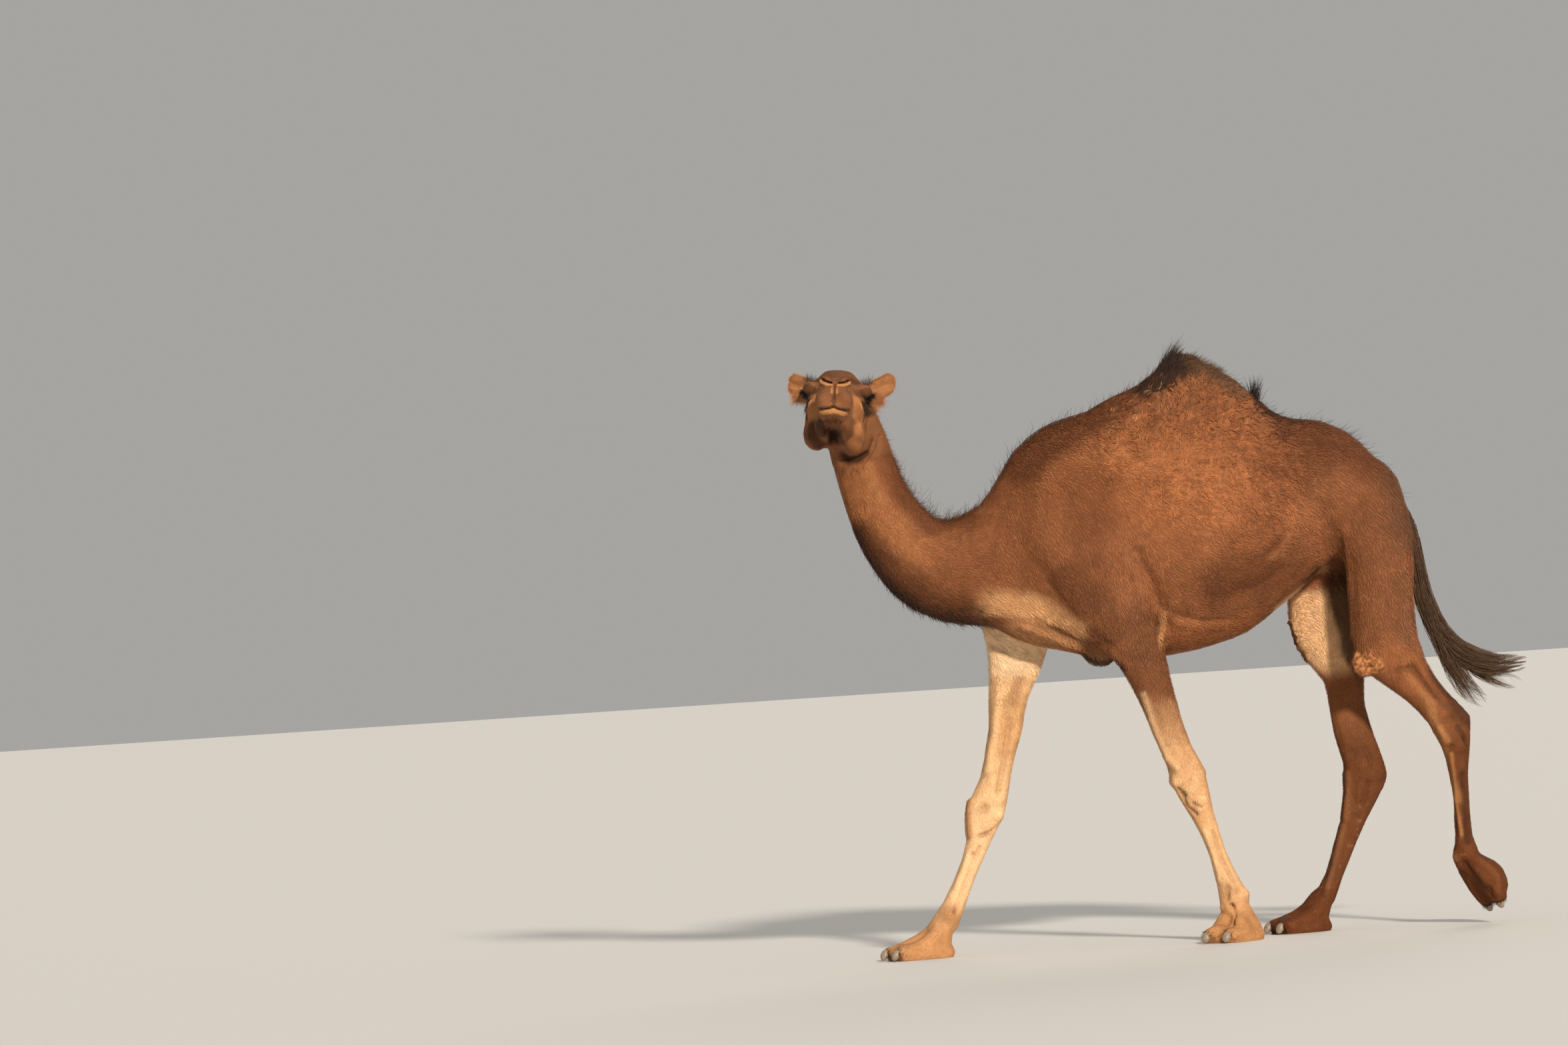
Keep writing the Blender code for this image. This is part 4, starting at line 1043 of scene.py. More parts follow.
# ---------------------------------------------------------------- the lie of the coat
# In hundredths: where in the side view (x z), and which way the hair points there (x z).
FLOW = np.array(numbers("""
    -62 150 60 -80    -55 125 75 -66    -40 162 62 -78    -25 130 35 -94    -20 160 55 -83
    -30 185 90 -43     -5 193 80 60      12 198 -25 97     33 192 95 -10      5 175 55 30
     10 145 80 -60     35 160 90 -43     10 110 98 -20     40 125 85 45      55 145 75 -66
     65 178 95 -30     80 160 50 -86     75 125 30 -95     85 100 45 -89    -10 105 10 -99
""", "e-2")).reshape(-1, 2, 2)
NECK_LINE = np.array(line_of("""-1101 1995, -1046 1855, -1019 1760, -988 1660, -942 1553, -869 1453,
    -778 1392, -676 1374, -566 1393, -456 1420"""))


def blended(flat, places, ways, size):
    """The ways in the side view that belong to these places, mixed by nearness."""
    weight = np.stack([np.exp(-((flat - at) ** 2).sum(1) / size**2) for at in places], 1) + 1e-12
    way = weight @ ways / weight.sum(1, keepdims=True)
    return np.c_[way[:, 0], np.zeros(len(flat)), way[:, 1]]


def lie(points, normals, which):
    """The way the hair points, along the surface."""
    flat = points[:, [0, 2]]
    out = blended(flat, FLOW[:, 0], FLOW[:, 1], 0.15)
    neck = blended(flat, (NECK_LINE[1:] + NECK_LINE[:-1]) / 2, unit(np.diff(NECK_LINE, axis=0)), 0.10)
    leg = np.tile([0.10, 0, -1.0], (len(points), 1))
    leg[is_part(which, "foot_hind_left")] = RAISED_DOWN
    local = to_head(points)
    lift = 0.5 * ramp(local[:, 2], 0.10, 0.16) - 0.55 * ramp(-local[:, 2], -0.03, 0.05)
    head = np.c_[-np.ones(len(points)), 0.25 * np.sign(local[:, 1]), lift] @ AXES
    tail = np.tile([0.12, 0, -1.0], (len(points), 1))
    for share, way in (
        (is_part(which, "neck"), neck),
        (is_part(which, "head"), head),
        (is_part(which, "cannon", "foot"), leg),
        (is_part(which, "tail"), tail),
    ):
        out = np.where(share[:, None], way, out)
    lower = (ramp(-points[:, 2], -1.0, -0.75) * is_part(which, "upper_"))[:, None]
    out = out * (1 - lower) + leg * lower
    for side, sign in (("ear_left", 1), ("ear_right", -1)):
        out[is_part(which, side)] = np.array([-0.24 + 0.12 * sign, sign * 0.92, 0.27]) @ AXES
    out = out - normals * (out * normals).sum(1, keepdims=True)
    thin = np.linalg.norm(out, axis=1) < 0.15
    aside = np.array([1.0, 0, 0.1])
    aside = aside - normals * (normals @ aside)[:, None]
    out[thin] = aside[thin]
    return unit(out)


LOOK = (  # start of a node's name, then a tuft's length and width, tufts per square metre, size of a clump
    ("trunk", 0.0190, 0.0025, 32000, 0.012), ("hump", 0.0210, 0.0027, 48000, 0.015),
    ("neck", 0.0180, 0.0022, 46000, 0.010), ("upper_", 0.0105, 0.0019, 39000, 0.009),
    ("cannon_", 0.0065, 0.0014, 50000, 0.006), ("foot_", 0.0052, 0.0013, 56000, 0.005),
    ("head", 0.0060, 0.0012, 112000, 0.005), ("ear", 0.0110, 0.0012, 190000, 0.006),
    ("tail", 0.0200, 0.0022, 50000, 0.010),
)
CELLS = 4096  # keeps the lattice's numbers above nought


def clumps(points, size, seed):
    """The nearest seed of a jittered lattice, and three numbers from -1 to 1 that belong to it."""
    cell = np.floor(points / size).astype(np.int64) + CELLS
    best, near, mark = np.full(len(points), 1e9), np.zeros_like(points), np.zeros_like(points)
    for corner in range(27):
        i = cell + (corner // 9 - 1, corner // 3 % 3 - 1, corner % 3 - 1)
        jitter = np.stack([lattice(i, seed + k) for k in range(3)], 1)
        at = (i - CELLS + 0.5 + 0.45 * jitter) * size
        gap = ((points - at) ** 2).sum(1)
        closer = gap < best
        best[closer], near[closer] = gap[closer], at[closer]
        mark[closer] = np.stack([lattice(i, seed + 3 + k) for k in range(3)], 1)[closer]
    return near, mark


class Skin:
    """The finished skin as arrays, from which roots are drawn."""

    def __init__(self, surface, which, depth, tint, length, width, hairy):
        self.points, self.tri, self.normals, self.which = surface.points, surface.tri, surface.normals(), which
        self.depth, self.tint, self.length, self.width = depth, tint, length, width
        self.flow = lie(self.points, self.normals, which)
        for _ in range(6):
            self.flow = self.flow * 0.5 + 0.5 * surface.mean(self.flow)
        self.flow = unit(self.flow - self.normals * (self.flow * self.normals).sum(1, keepdims=True))
        corner = self.points[self.tri]
        cross = np.cross(corner[:, 1] - corner[:, 0], corner[:, 2] - corner[:, 0])
        self.area = np.linalg.norm(cross, axis=1) / 2 * hairy[self.tri].mean(1)

    def roots(self, faces, density, rng):
        """Points spread evenly over these faces, with all that the skin knows of them."""
        share = np.cumsum(self.area[faces] * density)
        count = int(share[-1])
        at = (np.arange(count) + rng.random(count)) / count * share[-1]
        chosen = self.tri[faces[np.minimum(np.searchsorted(share, at), len(faces) - 1)]]
        a, b = np.sqrt(rng.random(count)), rng.random(count)
        mix = np.c_[1 - a, a * (1 - b), a * b]

        def of(values):
            return (values[chosen] * mix.reshape(mix.shape + (1,) * (values.ndim - 1))).sum(1)

        found = {name: of(getattr(self, name)) for name in ("depth", "tint", "length", "width")}
        found.update(at=of(self.points), normal=unit(of(self.normals)), flow=unit(of(self.flow)))
        return dict(found, which=self.which[chosen[:, 0]])


def turned(way, normal, angle):
    across = np.cross(normal, way)
    return way * np.cos(angle)[:, None] + across * np.sin(angle)[:, None]


def tufts(root, size, rng, curl):
    """Five points for each tuft: root, two sides, ridge and tip. A clump's tufts lean together."""
    at, normal, depth = root["at"], root["normal"], root["depth"]
    count = len(at)
    seed, mark = clumps(at, size, 11)
    swing = 0.30 * noise(at, 0.07, 21) + 1.5 * curl * noise(at, 0.024, 22) + mark[:, 0] * (0.16 + 0.55 * curl)
    way = turned(root["flow"], normal, swing + 0.12 * rng.normal(size=count))
    across = np.cross(normal, way)
    long = root["length"] * (1 + 0.22 * rng.uniform(-1, 1, count) + 0.12 * mark[:, 1]) * (1 + 0.10 * curl)
    high = depth * (0.66 + 0.10 * rng.uniform(-1, 1, count) + (0.06 + 0.29 * curl) * mark[:, 2])
    bend = (0.28 * curl * np.sign(mark[:, 1]) + 0.05 * rng.normal(size=count)) * long
    half = across * (root["width"] * (0.5 + 0.05 * curl) * rng.uniform(0.8, 1.25, count))[:, None]
    drop = normal * (root["width"] * (0.13 + 0.10 * curl))[:, None]
    pull = (seed - normal * ((seed - at) * normal).sum(1, keepdims=True) - at) * (0.45 - 0.10 * curl)[:, None]
    base = at - normal * (0.10 * depth)[:, None]
    middle = at + way * (0.40 * long)[:, None] + normal * (0.85 * high)[:, None] - across * bend[:, None]
    middle = middle + pull * 0.35
    tip = at + way * long[:, None] + normal * (high * (1.0 + 0.25 * curl))[:, None] + pull
    points = np.stack([base, middle + half - drop, middle - half - drop, middle + drop * 0.6, tip], 1)
    shade = 1 + (0.07 + 0.09 * curl) * mark[:, 1] + 0.07 * rng.uniform(-1, 1, count) + 0.15 * curl * mark[:, 2]
    # Darker at the root and lighter at the tip: partly sun-bleached tips, partly painted shade in the gaps
    # between tufts, more where the wool curls.
    along = np.array([0.84, 0.97, 0.97, 1.0, 1.09]) ** (1.2 + 1.6 * curl[:, None])
    return points, root["tint"][:, None, :] * along[:, :, None] * shade[:, None, None]


TUFT_FACES = np.array([0, 1, 3, 0, 3, 2, 1, 4, 3, 3, 4, 2])
TUFT_SPOTS = np.array([(0, -0.0014), (-0.0014, 0), (0.0014, 0), (0, 0.0002), (0, 0.0014)])


def set_unwrap(obj, corners):
    """Gives a piece its map for baking: a place for each corner of each face."""
    layer = obj.data.uv_layers.new(name="OFBake")
    layer.data.foreach_set("uv", np.clip(corners, 0.0005, 0.9995).astype(np.float32).reshape(-1))


def coat_piece(name, points, colour, uv, slot):
    """Tufts in one piece; on the map each is a small patch about its root's place."""
    faces = TUFT_FACES + 5 * np.arange(len(points))[:, None]
    obj = mesh_object(name, points.reshape(-1, 3), faces, 3)
    set_tint(obj, colour.reshape(-1, 3) * ALBEDO)
    set_unwrap(obj, uv[:, None] + TUFT_SPOTS[TUFT_FACES])
    finished(obj, slot, FUR)


def round_axis(points, centre, along, across, up, low, high):
    """Unwraps round an axis: the angle about it, and the way along it between low and high."""
    rel = points - centre
    angle = np.arctan2(rel @ np.asarray(across, float), rel @ np.asarray(up, float))
    run = (rel @ np.asarray(along, float) - low) / (high - low)
    return np.c_[angle / (2 * math.pi) + 0.5, run].clip(0.002, 0.998)


def bareness(points):
    """0 where nothing grows: in the eyes' openings, on the nostrils' edges and under the feet."""
    gap = eye_opening(points)[0]
    local = folded(to_head(points))
    grows = (1 - 0.9 * crusted(points)) * ramp(gap, 1.02, 1.12)
    grows = grows * ramp(reach(local, line_of("NOSTRIL -5")), 0.0048, 0.0072)
    grows = grows * ramp(reach(local, line_of("LIPS -3")), 0.0035, 0.0060)
    return grows * (1 - 0.85 * (reach(local, line_of("NOSE_RIM 4")) < 0.0055))


look_of = np.zeros((4, len(FLESH)))  # each flesh node's length, width, density and clump size
for start, *look in LOOK:
    for node in FLESH:
        if node.startswith(start):
            look_of[:, PART[node]] = look


def head_blend(values):
    """These values on the skin: the head's short fur lengthens down the neck."""
    low = ramp(-to_head(surface.points)[:, 2], 0.02, 0.42)
    node, head = values[PART["neck"]], values[PART["head"]]
    on_skin = np.where(is_part(part, "neck"), head + (node - head) * low, values[part])
    return blurred(surface, on_skin, 30)


length_at, width_at, density_at = (head_blend(values) for values in look_of[:3])
tint = markings(surface.points, part)
whole = Skin(surface, part, depth, tint, length_at, width_at, bareness(surface.points))
face_part = part[surface.tri[:, 0]]
face_at = surface.points[surface.tri].mean(1)
near_side = face_at[:, 1] < MID
ALBEDO = 0.92
X, Y, Z = np.eye(3)


def legs_unwrap(points):
    """Round a leg: as it bends, the angle is taken about the mean of the points at each height."""
    z = points[:, 2]
    bins = np.clip(((z - z.min()) / (np.ptp(z) + 1e-6) * 40).astype(int), 0, 40)
    total = np.maximum(np.bincount(bins, minlength=41), 1)
    cx = np.bincount(bins, points[:, 0], 41) / total
    cy = np.bincount(bins, points[:, 1], 41) / total
    angle = np.arctan2(points[:, 1] - cy[bins], points[:, 0] - cx[bins])
    return np.c_[angle / (2 * math.pi) + 0.5, (z - z.min()) / np.ptp(z)].clip(0.002, 0.998)


def trunk_unwrap(points):
    return round_axis(points, (0, MID, 1.50), X, Y, Z, -0.75, 1.05)


def neck_unwrap(points):
    """Round the neck's bent line, and along it."""
    lengths = np.r_[0, np.cumsum(np.linalg.norm(np.diff(NECK_LINE, axis=0), axis=1))]
    flat = points[:, [0, 2]]
    best, run, off = np.full(len(points), 1e9), np.zeros(len(points)), np.zeros(len(points))
    for k, (a, b) in enumerate(zip(NECK_LINE[:-1], NECK_LINE[1:])):
        way = b - a
        t = np.clip((flat - a) @ way / (way @ way), 0, 1)
        gap = flat - a - t[:, None] * way
        far = np.linalg.norm(gap, axis=1)
        closer = far < best
        best[closer] = far[closer]
        run[closer] = (lengths[k] + t * (lengths[k + 1] - lengths[k]))[closer]
        off[closer] = (gap @ np.array([-way[1], way[0]]) / np.linalg.norm(way))[closer]
    middle = np.interp(points[:, 0], (-1.10, -0.90, -0.50), (-0.05, 0.08, MID))
    angle = np.arctan2(points[:, 1] - middle, off)
    return np.c_[angle / (2 * math.pi) + 0.5, run / lengths[-1]].clip(0.002, 0.998)


def head_unwrap(points):
    return round_axis(points, of_head((0, 0, 0.05)), AXES[0], AXES[1], -AXES[2], -0.14, 0.40)


rear = face_at[:, 0] >= 0.12
COAT = [  # name, nodes, which faces, unwrap, slot
    ("coat_head", ("head",), True, head_unwrap, "coat"),
    ("coat_ears", ("ear",), True, head_unwrap, "coat"),
    ("coat_neck", ("neck",), True, neck_unwrap, "coat"),
    ("coat_trunk_left_front", ("trunk",), near_side & ~rear, trunk_unwrap, "coat"),
    ("coat_trunk_left_rear", ("trunk",), near_side & rear, trunk_unwrap, "coat"),
    ("coat_trunk_right_front", ("trunk",), ~near_side & ~rear, trunk_unwrap, "coat"),
    ("coat_trunk_right_rear", ("trunk",), ~near_side & rear, trunk_unwrap, "coat"),
    ("coat_hump", ("hump",), True, trunk_unwrap, "coat"),
    ("coat_tail", ("tail",), True, legs_unwrap, "dark_hair"),
]
for leg in LEG_FORMS:
    nodes = ("upper_" + leg, "cannon_" + leg, "foot_" + leg)
    COAT.append(("coat_" + leg, nodes, True, legs_unwrap, "pale_coat" if leg.startswith("fore") else "coat"))

DUST = tone(214, 158, 108)
off_floor = surface.points[surface.tri[:, 0], 2] > 0.003
thin_out = 1.0
for number, (name, nodes, faces, unwrap, slot) in enumerate(COAT):
    rng = np.random.default_rng(100 + number)
    chosen = np.flatnonzero(is_part(face_part, *nodes) & faces & off_floor)
    root = whole.roots(chosen, density_at[surface.tri[chosen]].mean(1) * thin_out, rng)
    size = float(look_of[3, PART[[n for n in FLESH if n.startswith(nodes)][0]]])
    curl = curliness(root["at"]) * is_part(root["which"], "trunk", "hump")
    points, colour = tufts(root, size, rng, curl)
    cake = ramp(noise(root["at"], 0.011, 71), 0.1, 0.6) * (rng.random(len(curl)) < 2.2 * dusty(root["at"]))
    colour += (DUST - colour) * (cake[:, None] * (0, 0.35, 0.35, 0.8, 0.6))[:, :, None]
    points[:, :, 2] = np.maximum(points[:, :, 2], 0.0006)
    coat_piece(name, points, colour, unwrap(root["at"]), slot)

# ---------------------------------------------------------------- long hair
def strand_piece(name, lines, width, colour, uv, slot):
    """Thin three-sided hairs along these lines (hair, point, xyz), which taper to their tips."""
    count, steps = lines.shape[:2]
    along = np.gradient(lines, axis=1)
    first = unit(np.cross(along, unit(RNG.normal(size=(count, 1, 3)))))
    second = unit(np.cross(along, first))
    taper = (1 - np.linspace(0, 1, steps) ** 2.2 * 0.93)[None, :, None] * width[:, None, None] / 2
    turns = [2 * math.pi * k / 3 for k in range(3)]
    points = np.stack([lines + (first * math.cos(t) + second * math.sin(t)) * taper for t in turns], 2)
    faces = []
    for k in range(3 * (steps - 1)):
        a, b = k, k - k % 3 + (k + 1) % 3
        faces += [a, b, b + 3, a, b + 3, a + 3]
    faces = np.array(faces)
    obj = mesh_object(name, points.reshape(-1, 3), faces + 3 * steps * np.arange(count)[:, None], 3)
    fade = np.linspace(0.85, 1.12, steps)[None, :, None, None]
    full = np.broadcast_to(colour[:, None, None, :] * fade, (count, steps, 3, 3))
    set_tint(obj, full.reshape(-1, 3) * ALBEDO)
    spots = np.stack([(faces % 3 - 1) * 0.0014, (faces // 3) / (steps - 1) * 0.0028 - 0.0014], 1)
    set_unwrap(obj, uv[:, None] + spots)
    finished(obj, slot, HAIR)


def chosen_roots(count, share, rng):
    """Roots drawn where share, a number for each skin point, is above nought."""
    weight = share[surface.tri].mean(1)
    faces = np.flatnonzero(weight > 1e-3)
    weight = weight[faces]
    return whole.roots(faces, weight * count / (whole.area[faces] * weight).sum(), rng)


def grown(root, way, length, rng, steps, curve, sweep=(0, 0, 0)):
    """Lines that leave the skin along this way and bend on as they grow."""
    bend = rng.normal(size=way.shape) * curve
    t = np.linspace(0, 1, steps)[None, :, None]
    long = length[:, None, None]
    line = root["at"][:, None] - root["normal"][:, None] * 0.002 + unit(way)[:, None, :] * long * t
    return line + (bend[:, None] + np.array(sweep)) * long * t**2


SKIN_AT = surface.points
SKIN_NORMAL = whole.normals
flat_at = SKIN_AT[:, [0, 2]]
local_at = to_head(SKIN_AT)
folded_at = folded(local_at)
on_top = ramp(SKIN_NORMAL[:, 2], 0.1, 0.6)
on_trunk = is_part(part, "trunk", "hump", "neck")
on_head = is_part(part, "head")


def leaving(spread, normal=0.0, flow=0.0, fixed=(0, 0, 0)):
    """How hairs leave: these shares of the skin's normal and the coat's lie, a fixed way, and chance."""
    def way(root, rng):
        out = root["flow"] * flow + root["normal"] * normal + np.array(fixed)
        return out + rng.normal(size=out.shape) * spread
    return way


def about(offset, near, far):
    """1 where an offset is shorter than the first distance, 0 where it is longer than the second."""
    return 1 - ramp(np.linalg.norm(offset, axis=1), near, far)


def hair(name, count, share, way, length, width, shade, unwrap, seed, curve, steps=4,
         slot="dark_hair", sweep=(0, 0, 0)):
    """A piece of long hair, whose roots are spread where share is above nought."""
    rng = np.random.default_rng(seed)
    root = chosen_roots(max(8, int(count * thin_out)), share, rng)
    many = len(root["at"])
    ways = way(root, rng)
    long = length(root, rng) if callable(length) else length * rng.uniform(0.55, 1.25, many)
    lines = grown(root, ways, long, rng, steps, curve, sweep)
    lines[:, :, 2] = np.maximum(lines[:, :, 2], 0.002)
    colour = shade(root) if callable(shade) else np.tile(shade, (many, 1))
    colour = colour * rng.uniform(0.78, 1.25, (many, 1))
    strand_piece(name, lines, width * rng.uniform(0.7, 1.3, many), colour, unwrap(root["at"]), slot)


# The tuft on the hump: upright in front, lower and leaning back behind.
crest = close_to(flat_at, line_of("20 2020, 60 2045, 100 2060, 160 2055, 220 2040"), 0.03, 0.075) * on_trunk


def crest_way(root, rng):
    x = root["at"][:, 0]
    front = 1 - ramp(x, 0.09, 0.15)
    rise = 0.40 + 0.55 * front * ramp(x, 0.0, 0.06) - 0.25 * ramp(x, 0.16, 0.28)
    way = np.c_[0.75 + 0.55 * (1 - front), (MID - root["at"][:, 1]) * 4.5 * front, rise]
    return unit(way) + root["normal"] * 0.22 + rng.normal(size=way.shape) * 0.10


def crest_length(root, rng):
    x = root["at"][:, 0]
    return (0.034 + 0.062 * np.exp(-((x - 0.075) / 0.030) ** 2)) * rng.uniform(0.55, 1.2, len(x))


def crest_shade(root):
    back = ramp(root["at"][:, 0], 0.10, 0.18)[:, None]
    return tone(58, 36, 24) * (1 - back) + tone(112, 80, 55) * back


hair("hair_crest", 2700, crest, crest_way, crest_length, 0.0015, crest_shade, trunk_unwrap, 301, 0.14,
     sweep=(0.16, 0, 0.10))

along_top = (1 - ramp(np.abs(SKIN_AT[:, 1] - MID), 0.02, 0.07)) * on_top * on_trunk * (SKIN_AT[:, 2] > 1.45)
top_way = leaving(0.22, 0.9, 0.7, (0.25, 0, 0))
hair("hair_back", 900, along_top, top_way, 0.042, 0.0011, tone(48, 30, 21), trunk_unwrap, 302, 0.25)
tuft_spot = close_to(flat_at, line_of("405 1915"), 0.005, 0.03) * along_top
tuft_way = leaving(0.15, fixed=(0.2, 0, 1.0))
hair("hair_back_tuft", 160, tuft_spot, tuft_way, 0.075, 0.0014, tone(40, 26, 19), trunk_unwrap, 303, 0.15)

nape_edge = line_of("""-985 1930, -955 1860, -930 1760, -900 1670, -860 1590, -780 1545, -700 1545, -600 1570,
    -520 1630""")
middle_of_neck = np.interp(
    SKIN_AT[:, 0], (-1.08, -0.98, -0.93, -0.85, -0.62), (-0.01, 0.055, 0.09, 0.112, MID)
)
off_middle = np.abs(SKIN_AT[:, 1] - middle_of_neck)
nape = (1 - ramp(off_middle, 0.02, 0.07)) * is_part(part, "neck", "trunk", "head")
nape = nape * ramp(SKIN_NORMAL[:, 0] + SKIN_NORMAL[:, 2], 0.35, 0.8) * (SKIN_AT[:, 0] < -0.50)
nape = nape * (local_at[:, 0] < -0.06) * close_to(flat_at, nape_edge, 0.05, 0.09)
nape_way = leaving(0.20, 0.75, 1.0)
hair("hair_nape", 3100, nape, nape_way, 0.027, 0.0010, tone(112, 67, 39), neck_unwrap, 304, 0.20, 3, "coat")
low_nape = nape * ramp(SKIN_AT[:, 0], -0.92, -0.84)
low_way = leaving(0.25, fixed=(0.30, 0, 0.95))
hair("hair_nape_long", 130, low_nape, low_way, 0.062, 0.0009, tone(44, 30, 22), neck_unwrap, 305, 0.30)

under = is_part(part, "neck", "trunk") * ramp(-SKIN_NORMAL[:, 2], 0.25, 0.75) * (SKIN_AT[:, 0] < -0.60)
under = under * (1 - ramp(off_middle, 0.05, 0.11))
throat_way = leaving(0.18, 0.35, 1.0)
hair("hair_throat", 1250, under, throat_way, 0.036, 0.0018, tone(58, 34, 20), neck_unwrap, 306, 0.15)

beard = close_to(folded_at, line_of("345 0 -40, 250 0 -50"), 0.018, 0.032) * on_head * (local_at[:, 2] < -0.02)
beard_way = leaving(0.25, 0.5, fixed=np.array([-0.15, 0.0, -1.0]) @ AXES)
hair("hair_beard", 440, beard, beard_way, 0.021, 0.0007, tone(124, 76, 44), head_unwrap, 307, 0.25, 4, "coat")
lips = close_to(folded_at, line_of("362 0 -20, 345 40 -24"), 0.014, 0.026) * on_head
lips_way = leaving(0.30, 1.0, fixed=np.array([0, 0, -0.6]) @ AXES)
hair("hair_lips", 200, lips, lips_way, 0.014, 0.0006, tone(150, 104, 68), head_unwrap, 308, 0.25, 4, "coat")


def rim_way(ear_root, ear_out, rim_up):
    """Hair on an ear's rim leaves outward, and up or down with the side of the ear that it is on."""
    def way(root, rng):
        high = np.sign((root["at"] - ear_root) @ rim_up) * 0.3
        out = ear_out * 0.9 + root["normal"] * 0.8 + rim_up * high[:, None]
        return out + rng.normal(size=out.shape) * 0.25
    return way


for label, sign in (("left", 1), ("right", -1)):
    ear_root, ear_out, rim_up, _ = ear_frame(sign)
    ear_root, ear_out, rim_up = of_head(ear_root), ear_out @ AXES, rim_up @ AXES
    rel = SKIN_AT - ear_root
    is_ear = is_part(part, "ear_" + label)
    rim = np.clip(ramp(np.abs(rel @ rim_up), 0.012, 0.024) + ramp(rel @ ear_out, 0.085, 0.105), 0, 1) * is_ear
    hair("hair_ear_" + label, 1250, rim, rim_way(ear_root, ear_out, rim_up), 0.015, 0.0006, tone(200, 142, 88),
         head_unwrap, 310 + sign, 0.22, 3, "coat")
    top_root = about(rel - rim_up * 0.026 - ear_out * 0.012, 0.014, 0.030) * (on_head | is_ear)
    top_way = leaving(0.22, 0.5, fixed=np.array([0, 0, 0.8]) + ear_out * 0.35)
    hair("hair_ear_top_" + label, 210, top_root, top_way, 0.030, 0.0006, tone(66, 45, 32), head_unwrap,
         320 + sign, 0.2)
    low_root = about(rel + rim_up * 0.030 - ear_out * 0.020, 0.018, 0.040) * (on_head | is_ear)
    low_way = leaving(0.20, 0.35, fixed=np.array([0, 0, -0.70]) + ear_out * 0.75)
    hair("hair_ear_low_" + label, 1700, low_root, low_way, 0.034, 0.0008, tone(212, 148, 90), head_unwrap,
         330 + sign, 0.2, 3, "coat")

gap_at, _, rel_at, _, _ = eye_opening(SKIN_AT)
lash = (np.abs(gap_at - 1.08) < 0.16) * ramp(rel_at[:, 2], 0.000, 0.008)
lash_way = leaving(0.22, 0.8, fixed=np.array([0.25, 0, -0.15]) @ AXES)
hair("hair_lashes", 330, lash, lash_way, 0.022, 0.0008, tone(26, 17, 12), head_unwrap, 309, 0.1)
pit = close_to(folded_at, line_of("75 96 60, 30 112 60, -10 122 74"), 0.014, 0.026) * on_head * (gap_at > 1.3)
pit_way = leaving(0.20, 0.8, fixed=np.array([-0.25, 0, -0.8]) @ AXES)
hair("hair_under_eyes", 900, pit, pit_way, 0.016, 0.0008, tone(62, 38, 24), head_unwrap, 340, 0.2, 3)

# The tail: hair hangs along its line and spreads toward the tips.
TAIL_LINE = np.array(line_of("""
    870 123 1580, 916 122 1500, 938 121 1420, 947 117 1308, 952 113 1246, 965 110 1168, 990 107 1090,
    1027 104 1018, 1076 101 969, 1136 98 934, 1205 96 913, 1270 94 914, 1298 93 918
"""))
TAIL_TIP = np.array(line_of("""
    952 110 1246, 962 104 1168, 987 98 1090, 1013 95 1011, 1047 95 932, 1082 95 868, 1110 95 820,
    1150 95 790
"""))
TAIL_SIDE = np.array(line_of("""
    990 112 1090, 1027 112 1018, 1077 114 962, 1143 115 910, 1204 115 877, 1276 115 853
"""))


def along_line(line, share):
    """The points of a line at these shares of its length."""
    gone = np.r_[0, np.cumsum(np.linalg.norm(np.diff(line, axis=0), axis=1))]
    return np.stack([np.interp(np.clip(share, 0, 1) * gone[-1], gone, column) for column in line.T], -1)


def tail_hair(name, count, line, first, last, length, spread, seed, shade, steps):
    """Hairs that leave the line between two shares of its length and close into locks toward their tips."""
    rng = np.random.default_rng(seed)
    count = max(8, int(count * thin_out))
    start = rng.uniform(first, last, count)
    locks = 30
    lock = rng.integers(0, locks, count)
    lock_side = unit(rng.normal(size=(locks, 3)))[lock]
    lock_end = rng.uniform(0.80, 1.06, locks)[lock]
    long = np.minimum(length * rng.uniform(0.7, 1.2, count), lock_end - start)
    run = start[:, None] + np.linspace(0, 1, steps)[None, :] * long[:, None]
    gone = np.clip(run, 0, 1)[..., None]
    thick = 0.016 + spread * np.sin(gone * math.pi) ** 0.8 * (0.4 + gone)
    own = unit(rng.normal(size=(count, 3)))[:, None] * (0.55 + 0.1 * rng.normal(size=(count, 1, 1)))
    close = np.clip((gone - 0.55) / 0.45, 0, 1) ** 1.2
    off = own * thick * (1 - 0.8 * close) + lock_side[:, None] * thick * (0.35 + 1.3 * close)
    wave = lock_side[:, None, [1, 2, 0]] * 0.011 * gone * np.sin(gone * 24 + lock[:, None, None])
    colour = shade * rng.uniform(0.75, 1.35, (count, 1)) * (1 + 0.15 * np.sin(lock * 2.3))[:, None]
    uv = np.c_[0.5 + 0.4 * own[:, 0, 1], 0.04 + 0.92 * start / last].clip(0.002, 0.998)
    width = 0.0017 * rng.uniform(0.7, 1.3, count)
    strand_piece(name, along_line(line, run) + off + wave, width, colour, uv, "dark_hair")


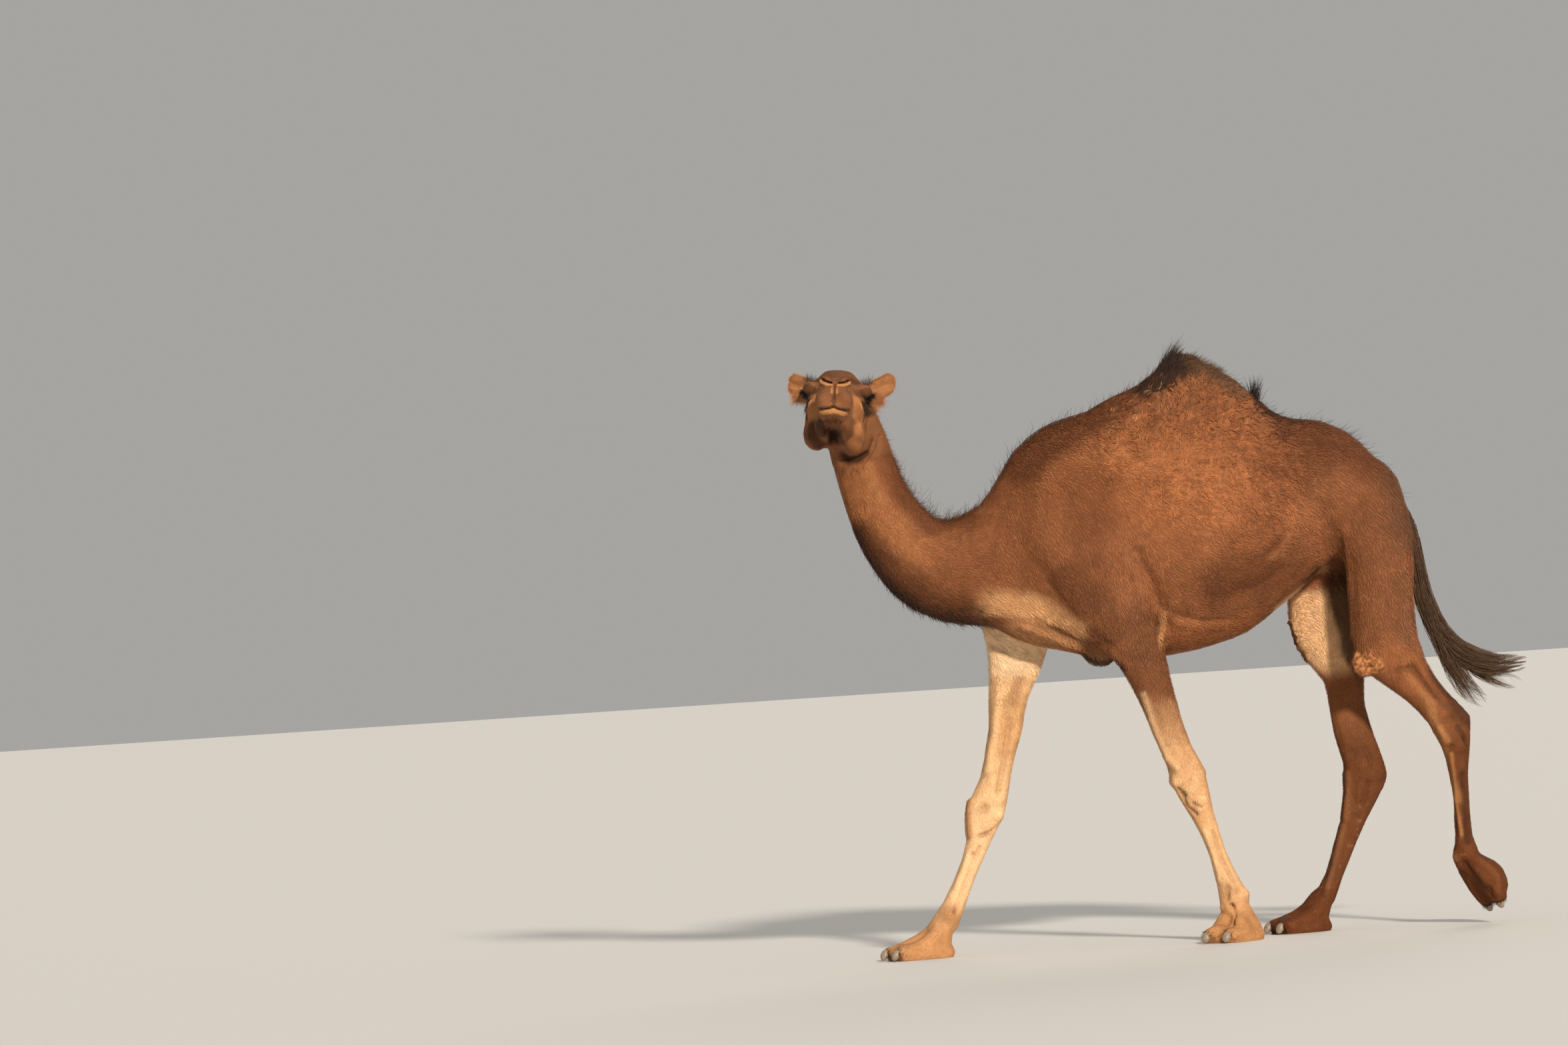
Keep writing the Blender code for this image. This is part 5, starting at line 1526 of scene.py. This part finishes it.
OLIVE = tone(94, 68, 45)
tail_hair("hair_tail", 1500, TAIL_LINE, 0.14, 0.62, 0.42, 0.024, 401, OLIVE, 9)
tail_hair("hair_tail_end", 460, TAIL_LINE, 0.52, 0.72, 0.50, 0.020, 402, OLIVE * 1.15, 8)
tail_hair("hair_tail_tip", 420, TAIL_TIP, 0.10, 0.55, 0.65, 0.018, 403, OLIVE * 1.05, 8)
tail_hair("hair_tail_side", 300, TAIL_SIDE, 0.02, 0.40, 0.80, 0.016, 405, OLIVE * 1.1, 8)
tail_hair("hair_dock", 420, TAIL_LINE, 0.02, 0.30, 0.16, 0.004, 404, tone(78, 54, 38), 6)

# Dark hair over the nails.
for leg in LEG_FORMS:
    raised = leg == "hind_left"
    toe_way = leaving(0.2, 0.5, fixed=RAISED_DOWN if raised else (-0.45, 0, -0.55))
    for toe in ("_left", "_right"):
        rel = SKIN_AT - centre_of("nail_" + leg + toe)
        close = about(rel, 0.026, 0.038) if raised else about(rel, 0.030, 0.045) * (SKIN_NORMAL[:, 2] > -0.3)
        close = close * is_part(part, "foot_" + leg)
        hair("hair_toe_" + leg + toe, 130, close, toe_way, 0.015, 0.0010, tone(54, 34, 22), legs_unwrap,
             350, 0.15)

# ---------------------------------------------------------------- eyes, nails
for label, at in EYES.items():
    bm = bmesh.new()
    bmesh.ops.create_uvsphere(bm, u_segments=40, v_segments=24, radius=EYE_RADIUS * 0.985)
    eye = bpy.data.objects.new("eyeball_" + label, bpy.data.meshes.new("eyeball_" + label))
    bm.to_mesh(eye.data)
    bm.free()
    eye.data.transform(Matrix.Translation(Vector(at)))
    eye.data.shade_smooth()
    bpy.context.scene.collection.objects.link(eye)
    set_tint(eye, tone(14, 8, 6))
    finished(eye, "eye", WET, "eye_" + label)
for node in sorted(NODES):
    if not node.startswith("nail_"):
        continue
    co, tri = solid_of(node)
    claw = mesh_object(node.replace("nail", "claw"), co, tri, 3)
    rounder = claw.modifiers.new("round", "SUBSURF")
    rounder.levels = rounder.render_levels = 2
    applied(claw)
    set_tint(claw, tone(150, 132, 112))
    finished(claw, "horn", HORN, node)

floor = mesh_object("floor", [(-60, -60, 0), (60, -60, 0), (60, 60, 0), (-60, 60, 0)], [0, 1, 2, 3], 4)
pale = bpy.data.materials.new("floor")
pale.use_nodes = True
pale.node_tree.nodes["Principled BSDF"].inputs["Base Color"].default_value = (0.72, 0.70, 0.67, 1)
pale.node_tree.nodes["Principled BSDF"].inputs["Roughness"].default_value = 0.9
floor.data.materials.append(pale)
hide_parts("tail_brush")
